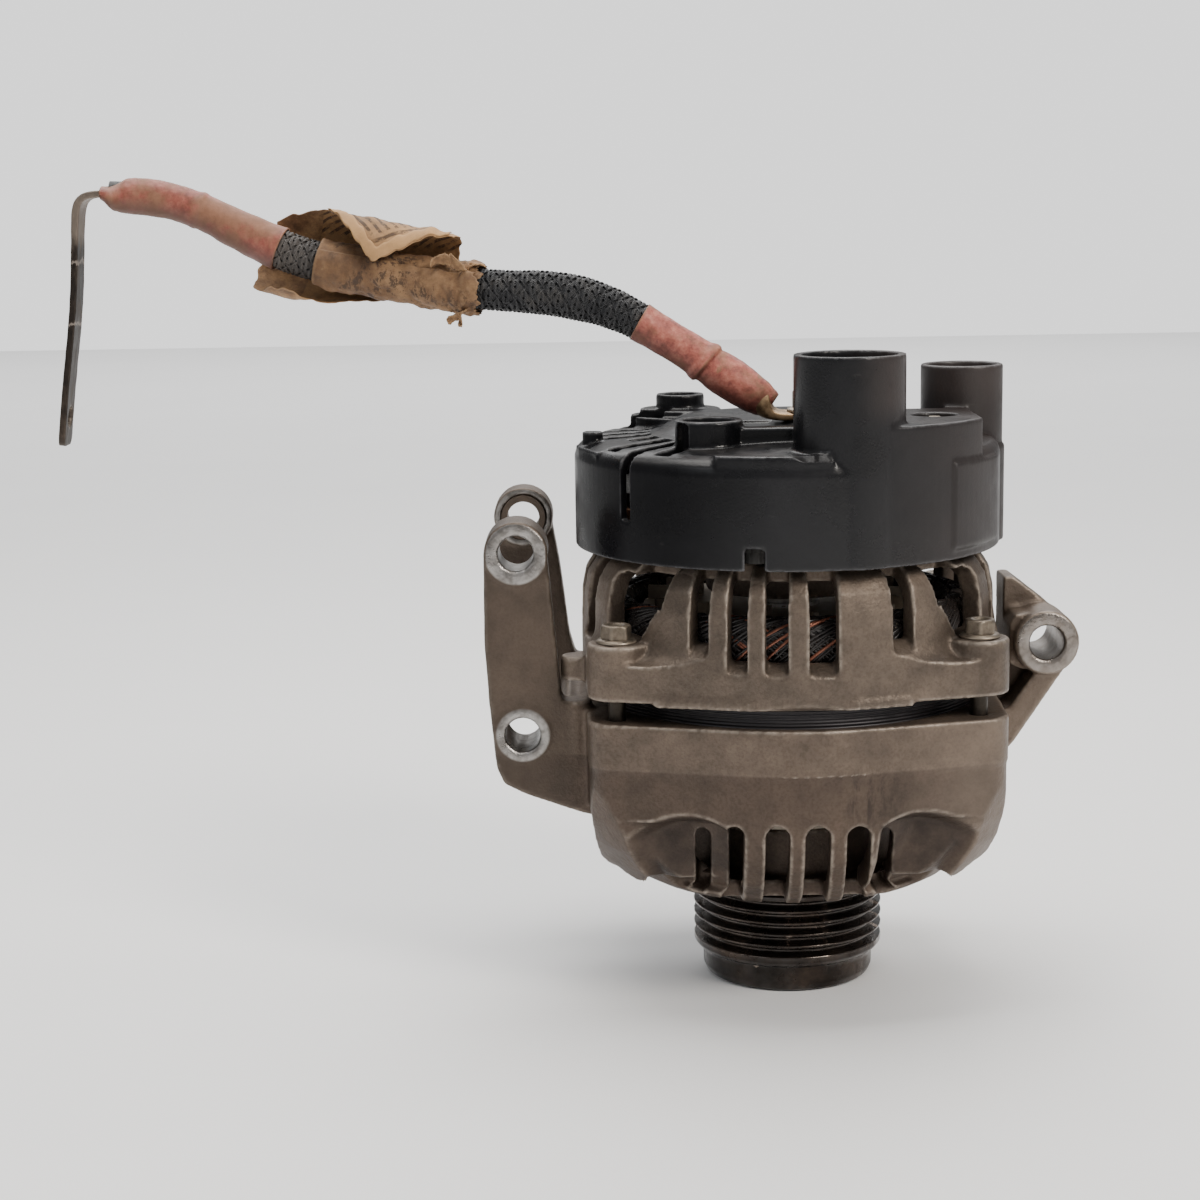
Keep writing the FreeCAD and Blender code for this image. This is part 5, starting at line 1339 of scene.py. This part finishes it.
def pulley_metal():
    m = Mat("oily_pulley")
    x, y, z = m.xyz()
    broad = m.noise(70, 5, 0.65)
    fine = m.noise(700, 4, 0.6, m.stretch(1, 1, 9))
    tone = m.ramp(broad, [(0.35, (0.015, 0.012, 0.010)), (0.52, (0.032, 0.0245, 0.0205)), (0.70, (0.072, 0.053, 0.041))])
    # paler rib crests: painted highlight, and worn bare metal
    crest_highlight_and_wear = m.calc("MULTIPLY", m.edge(0.515, 0.57), m.span(m.noise(260, 5, 0.7, m.stretch(1, 1, 0.5)), 0.36, 0.60, 0.2, 1.0))
    tone = m.mix(m.calc("MULTIPLY", crest_highlight_and_wear, 0.9), tone, (0.62, 0.50, 0.42))
    oil = m.span(m.noise(110, 5, 0.6), 0.35, 0.65)
    rough = m.calc("ADD", m.calc("MULTIPLY", oil, 0.22), 0.12)
    bump = m.bump(fine, 0.00006, 0.6)
    bump = m.bump(m.noise(300, 5, 0.6), 0.00016, 0.45, bump)
    return m.out(tone, rough, 0.85, bump, coat=m.calc("MULTIPLY", m.calc("SUBTRACT", 1.0, oil), 0.6))


pulley_mat = pulley_metal()


def winding_mat():
    m = Mat("enamelled_wire")
    tone = m.attr("tone")
    dark = m.mix(m.noise(900, 4), (0.008, 0.007, 0.007), (0.026, 0.020, 0.018))
    red = m.mix(m.noise(300, 4), (0.19, 0.060, 0.036), (0.36, 0.150, 0.095))
    side = m.near((-0.006, -0.054, 0.116), 0.016, 0.026)
    some = m.calc("GREATER_THAN", tone, m.calc("SUBTRACT", 0.988, m.calc("MULTIPLY", side, 0.15)))
    col = m.mix(some, dark, red)
    lace = m.calc("LESS_THAN", tone, -0.5)
    col = m.mix(lace, col, (0.20, 0.17, 0.13))
    return m.out(col, m.span(m.noise(500, 4), 0.3, 0.7, 0.22, 0.42), m.calc("MULTIPLY", some, 0.5), m.bump(m.noise(1800, 3), 0.00006, 0.5))


coil_mat = winding_mat()


def varnished():
    m = Mat("varnished_laminations")
    w = m.t.nodes.new("ShaderNodeTexWave")
    w.bands_direction = "Z"
    w.inputs["Scale"].default_value = 320
    w.inputs["Distortion"].default_value = 0.4
    m.join(m.pos, w.inputs["Vector"])
    tone = m.mix(m.noise(90, 5, 0.6), (0.010, 0.010, 0.013), (0.035, 0.032, 0.034))
    tone = m.mix(m.calc("MULTIPLY", w.outputs["Fac"], 0.35), tone, (0.055, 0.050, 0.052))
    return m.out(tone, 0.42, 0.5, m.bump(w.outputs["Fac"], 0.0002, 0.8))


lams = varnished()


def shrink_mat(name, warm):
    """Old heat-shrink: pinkish red, worn to tan along its edges, with painted shade darkening its underside."""
    m = Mat(name)
    nrm = m.node("ShaderNodeSeparateXYZ")
    m.join(m.geo.outputs["Normal"], nrm.inputs[0])
    broad = m.noise(85, 6, 0.65)
    mid = m.noise(330, 6, 0.7)
    red = m.ramp(mid, [(0.32, (0.150, 0.036, 0.028)), (0.5, (0.34, 0.095, 0.070)), (0.68, (0.49, 0.185, 0.132))])
    if warm > 0.05:
        red = m.mix(0.42, red, (0.135, 0.036, 0.020))
    tan = m.mix(mid, (0.150, 0.076, 0.040), (0.27, 0.150, 0.082))
    edge_wear_and_highlight = m.calc("MAXIMUM", m.edge(0.505, 0.55), m.span(broad, 0.5 - warm, 0.68 - warm))
    col = m.mix(m.calc("MULTIPLY", edge_wear_and_highlight, 0.72), red, tan)
    # painted shade: downward faces darker
    underside_shade = m.span(nrm.outputs[2], -0.75, 0.20, 1.0, 0.0)
    col = m.mix(m.calc("MULTIPLY", underside_shade, 0.66), col, (0.050, 0.025, 0.019))
    speck = m.span(m.noise(1500, 3, 0.7), 0.60, 0.72)
    col = m.mix(m.calc("MULTIPLY", speck, 0.35), col, (0.06, 0.035, 0.03))
    bump = m.bump(m.noise(900, 4, 0.65), 0.00012, 0.6)
    bump = m.bump(m.noise(150, 4, 0.5), 0.0004, 0.35, bump)
    return m.out(col, m.span(broad, 0.3, 0.7, 0.45, 0.66), 0.0, bump, sheen=0.02, spec=0.36)


dress(lug_shrink, shrink_mat("red_shrink_lug", 0.02))
dress(bar_shrink, shrink_mat("red_shrink_bar", 0.10))


def braid_mat():
    m = Mat("braid_filament")
    tone = m.ramp(m.noise(140, 5, 0.6), [(0.35, (0.013, 0.0135, 0.0155)), (0.55, (0.024, 0.0242, 0.026)), (0.72, (0.044, 0.041, 0.039))])
    left = m.span(m.xyz()[0], -0.155, -0.125, 1.0, 0.0)
    tone = m.mix(m.calc("MULTIPLY", left, 0.45), tone, (0.16, 0.135, 0.115))
    return m.out(tone, m.span(m.noise(500, 3), 0.3, 0.7, 0.42, 0.56), 0.0, m.bump(m.noise(2500, 2), 0.00003, 0.5), spec=0.30)


dress(sleeve, braid_mat())


def rubber(name, tone=(0.012, 0.012, 0.013)):
    m = Mat(name)
    col = m.ramp(m.noise(200, 5, 0.6), [(0.35, tuple(c * 0.6 for c in tone)), (0.7, tuple(c * 2.0 for c in tone))])
    return m.out(col, m.span(m.noise(300, 4), 0.3, 0.7, 0.42, 0.62), 0.0, m.bump(m.noise(900, 3), 0.00008, 0.5))


cable.data.materials.append(rubber("cable_rubber"))
dress(sleeve_shade_underlay, rubber("sleeve_shadow", (0.019, 0.019, 0.0205)))


def paper_mat():
    """Kraft paper that has been wet and dried: fibres, creases, brown stains, and plain printed rules."""
    m = Mat("kraft_paper")
    u, v = m.attr("flat_u"), m.attr("flat_v")
    nrm = m.node("ShaderNodeSeparateXYZ")
    m.join(m.geo.outputs["Normal"], nrm.inputs[0])
    broad, mid = m.noise(55, 6, 0.68), m.noise(260, 7, 0.72)
    fibre = m.noise(900, 5, 0.75, m.stretch(1, 1, 4))
    col = m.ramp(m.calc("ADD", m.calc("MULTIPLY", broad, 0.6), m.calc("MULTIPLY", mid, 0.4)),
                 [(0.38, (0.070, 0.036, 0.018)), (0.49, (0.195, 0.108, 0.053)), (0.60, (0.40, 0.240, 0.120))])
    col = m.mix(m.calc("MULTIPLY", m.span(fibre, 0.50, 0.66), 0.4), col, (0.10, 0.058, 0.034))
    crease = m.span(m.geo.outputs["Pointiness"], 0.505, 0.54)
    col = m.mix(m.calc("MULTIPLY", crease, 0.34), col, (0.46, 0.295, 0.160))
    # darker in the concave creases: painted shade
    crease_shade = m.span(m.geo.outputs["Pointiness"], 0.44, 0.495, 1.0, 0.0)
    col = m.mix(m.calc("MULTIPLY", crease_shade, 0.55), col, (0.09, 0.05, 0.03))
    # printed rules on the outer fold, broken where the ink has rubbed off
    across = m.calc("MULTIPLY", m.calc("SUBTRACT", v, m.calc("MULTIPLY", u, 0.96)), 0.72)
    rules = m.span(m.calc("SINE", m.calc("MULTIPLY", across, 2.5)), 0.05, 0.45)
    inner = m.calc("SUBTRACT", m.calc("ADD", v, m.calc("MULTIPLY", u, 0.70)), 0.0)
    border = m.calc("MULTIPLY", m.span(inner, 90.2, 90.8), m.span(inner, 91.8, 92.4, 1.0, 0.0))
    past = m.span(inner, 93.4, 94.2)
    outer_fold = m.calc("MULTIPLY", m.calc("GREATER_THAN", u, 50.0), m.calc("LESS_THAN", u, 140.0))
    zone = m.calc("MULTIPLY", outer_fold, m.span(v, 30.0, 32.0, 1.0, 0.0))
    rubbed = m.span(m.noise(420, 5, 0.75), 0.36, 0.54)
    ink = m.calc("MULTIPLY", m.calc("MAXIMUM", m.calc("MULTIPLY", rules, past), border), m.calc("MULTIPLY", zone, rubbed))
    col = m.mix(m.calc("MULTIPLY", outer_fold, 0.40), col, m.mix(mid, (0.34, 0.190, 0.082), (0.54, 0.325, 0.155)))
    col = m.mix(m.calc("MULTIPLY", ink, 0.85), col, (0.040, 0.024, 0.017))
    # the wrapped turns are browner, with a smudged print along them
    turns = m.calc("LESS_THAN", u, -100.0)
    col = m.mix(m.calc("MULTIPLY", turns, 0.55), col, m.mix(mid, (0.062, 0.032, 0.016), (0.190, 0.104, 0.052)))
    smudge = m.calc("MULTIPLY", m.span(m.noise(330, 6, 0.8, m.stretch(1.0, 1.0, 0.55)), 0.51, 0.57), m.span(m.noise(75, 3, 0.5), 0.40, 0.52))
    col = m.mix(m.calc("MULTIPLY", m.calc("MULTIPLY", smudge, turns), 0.85), col, (0.045, 0.028, 0.020))
    hem_here = m.calc("GREATER_THAN", u, 250.0)
    hem_only = m.calc("MULTIPLY", hem_here, m.calc("LESS_THAN", u, 500.0))
    col = m.mix(m.calc("MULTIPLY", hem_only, 0.80), col, m.mix(mid, (0.34, 0.190, 0.080), (0.58, 0.345, 0.155)))
    rough = m.span(mid, 0.3, 0.7, 0.62, 0.85)
    bump = m.bump(fibre, 0.00016, 0.7)
    bump = m.bump(m.noise(300, 5, 0.7), 0.0005, 0.5, bump)
    return m.out(col, rough, 0.0, bump, sheen=0.04, spec=0.3)


dress(tag, paper_mat())


def bar_mat():
    """Bare and silvery at the bend, blackened and brown further down."""
    m = Mat("bar_metal")
    x, y, z = m.xyz()
    mid = m.noise(300, 6, 0.7, m.stretch(1, 1, 0.35))
    fine = m.noise(1300, 4, 0.6)
    bare = m.mix(mid, (0.095, 0.074, 0.058), (0.255, 0.210, 0.172))
    burnt = m.ramp(mid, [(0.34, (0.012, 0.010, 0.009)), (0.52, (0.034, 0.026, 0.021)), (0.70, (0.085, 0.065, 0.050))])
    up = m.calc("ADD", z, m.calc("MULTIPLY", m.calc("SUBTRACT", mid, 0.5), 0.008))
    col = m.mix(m.span(up, 0.2215, 0.2275), burnt, bare)
    for level in (0.2185, 0.2005):
        d = m.calc("ABSOLUTE", m.calc("SUBTRACT", up, level))
        col = m.mix(m.calc("MULTIPLY", m.span(d, 0.0002, 0.0006, 1.0, 0.0), 0.7), col, (0.34, 0.29, 0.25))
    # paler edges: painted highlight, and wear
    col = m.mix(m.calc("MULTIPLY", m.edge(0.52, 0.60), 0.35), col, (0.42, 0.36, 0.30))
    bump = m.bump(fine, 0.00005, 0.6)
    bump = m.bump(mid, 0.00015, 0.5, bump)
    return m.out(col, m.span(mid, 0.3, 0.7, 0.40, 0.62), 0.80, bump)


dress(bar, bar_mat())
dress(lug, brass)
dress(pulley, pulley_mat)
dress(cap, moulded_black("cap_plastic", 0.6, (0.016, 0.015, 0.015)))
dress(bolts, bolt_metal)
dress(cover_nuts, zinc)
dress(output_nut, zinc)
dress(stud, zinc)
dress(cover_stud, zinc)
dress(coil, coil_mat)


def brown_plastic():
    m = Mat("brown_plastic")
    col = m.mix(m.noise(160, 5, 0.6), (0.10, 0.045, 0.022), (0.20, 0.10, 0.05))
    return m.out(col, m.span(m.noise(240, 4), 0.3, 0.7, 0.35, 0.5), 0.0, m.bump(m.noise(1200, 3), 0.00005, 0.5))


brown = brown_plastic()


def copper_mat():
    m = Mat("copper_band")
    col = m.mix(m.noise(260, 5, 0.6, m.stretch(1, 1, 8)), (0.48, 0.20, 0.10), (0.72, 0.38, 0.22))
    return m.out(col, m.span(m.noise(300, 4), 0.3, 0.7, 0.22, 0.38), 1.0, m.bump(m.noise(900, 3, 0.5, m.stretch(1, 1, 10)), 0.00004, 0.5))


copper = copper_mat()
grey_varnish = coil_mat

bushing_metal = metal("browned_bushing", (0.115, 0.086, 0.064), (0.050, 0.036, 0.027), (0.40, 0.58), edge_wear_and_highlight=0.25, metallic=0.7)
BY_SLOT = {"cast_aluminium": cast_rear, "black_plastic": black, "steel": steel, "zinc_steel": zinc, "laminated_steel": lams, "copper": copper,
           "pulley_steel": pulley_mat, "pole_iron": iron, "brown_plastic": brown, "carbon": carbon, "plate_aluminium": alu_plate,
           "tinned_brass": brass, "red_shrink": None, "braid": None, "cable_rubber": None, "kraft_paper": None, "bar_metal": None}
SLOT_OF = {p["node"]: p["material_slot"] for p in frame["record"]["subparts"]}
for name in NODES:
    mat = BY_SLOT.get(SLOT_OF.get(name)) or steel
    if name == "pivot_bushing":
        mat = bushing_metal
    if name in ("stator_winding", "field_coil"):
        mat = coil_mat if name == "stator_winding" else copper
    dress_node(name, mat)


# ------------------------------------------------------------------ bodies and stand-ins
def place(ob, body, slot, *nodes):
    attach(ob, body)
    if nodes:
        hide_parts(*nodes)
    return ob


place(cable, "housing", "cable_rubber", "battery_cable")
place(lug_shrink, "housing", "red_shrink", "heat_shrink_lug_end")
place(bar_shrink, "housing", "red_shrink", "heat_shrink_bar_end")
place(sleeve, "housing", "braid", "braided_sleeve")
place(sleeve_shade_underlay, "housing", "cable_rubber")
place(tag, "housing", "kraft_paper", "paper_tag")
place(bar, "housing", "bar_metal", "terminal_bar")
place(lug, "housing", "tinned_brass", "cable_terminal")
place(pulley, "pulley", "pulley_steel", "pulley_ring")
place(cap, "pulley", "black_plastic", "pulley_dust_cap")
place(bolts, "housing", "zinc_steel", "through_bolts")
place(cover_nuts, "housing", "zinc_steel", "cover_nuts")
place(output_nut, "housing", "zinc_steel", "output_nut")
place(stud, "housing", "zinc_steel", "output_stud")
place(cover_stud, "housing", "zinc_steel", "cover_studs")
place(coil, "housing", "copper")
for ob, side, mid in ((springs[0], "lower", 0.1425), (springs[1], "upper", 0.1525)):
    dress(ob, steel)
    place(ob, "housing", "steel", "brush_spring_" + side)
    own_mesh(ob)
place(front, "housing", "cast_aluminium", "front_housing")
place(rear, "housing", "cast_aluminium", "rear_housing")
place(cover, "housing", "black_plastic", "rear_cover")


# ------------------------------------------------------------------ floor and light
def floor_piece():
    bm = bmesh.new()
    bmesh.ops.create_grid(bm, x_segments=8, y_segments=8, size=3.0)
    me = bpy.data.meshes.new("floor")
    bm.to_mesh(me)
    bm.free()
    ob = link(bpy.data.objects.new("floor", me))
    m = Mat("floor_paint")
    col = m.mix(m.noise(6, 3), (0.86, 0.86, 0.86), (0.90, 0.90, 0.90))
    dress(ob, m.out(col, 0.75, 0.0))
    return ob


floor_piece()


def lamp(name, at, target, size, power, color):
    data = bpy.data.lights.new(name, "AREA")
    data.shape = "RECTANGLE"
    data.size, data.size_y = size
    data.energy = power
    data.color = color
    ob = link(bpy.data.objects.new(name, data))
    ob.location = at
    ob.rotation_euler = (Vector(target) - Vector(at)).to_track_quat("-Z", "Y").to_euler()
    return ob


lamp("key", (0.75, -0.85, 0.95), (0.0, 0.0, 0.12), (0.45, 0.45), 15.0, (1.0, 0.94, 0.87))
lamp("fill", (-0.95, -0.8, 0.95), (-0.05, 0.0, 0.12), (0.6, 0.6), 2.4, (0.93, 0.96, 1.0))
lamp("top", (-0.1, 0.15, 1.15), (-0.05, 0.0, 0.15), (0.9, 0.7), 14.0, (1.0, 0.98, 0.95))
lamp("far", (0.0, 2.4, 1.9), (0.0, 1.9, 0.0), (3.5, 1.5), 70.0, (1.0, 1.0, 1.0))
world = bpy.data.worlds.new("studio")
scene.world = world
world.use_nodes = True
sky = world.node_tree.nodes["Background"]
sky.inputs["Color"].default_value = (1.0, 1.0, 1.0, 1)
ray = world.node_tree.nodes.new("ShaderNodeLightPath")
level = world.node_tree.nodes.new("ShaderNodeMapRange")
level.inputs["To Min"].default_value = 0.38
level.inputs["To Max"].default_value = 1.5
world.node_tree.links.new(ray.outputs["Is Camera Ray"], level.inputs["Value"])
world.node_tree.links.new(level.outputs["Result"], sky.inputs["Strength"])
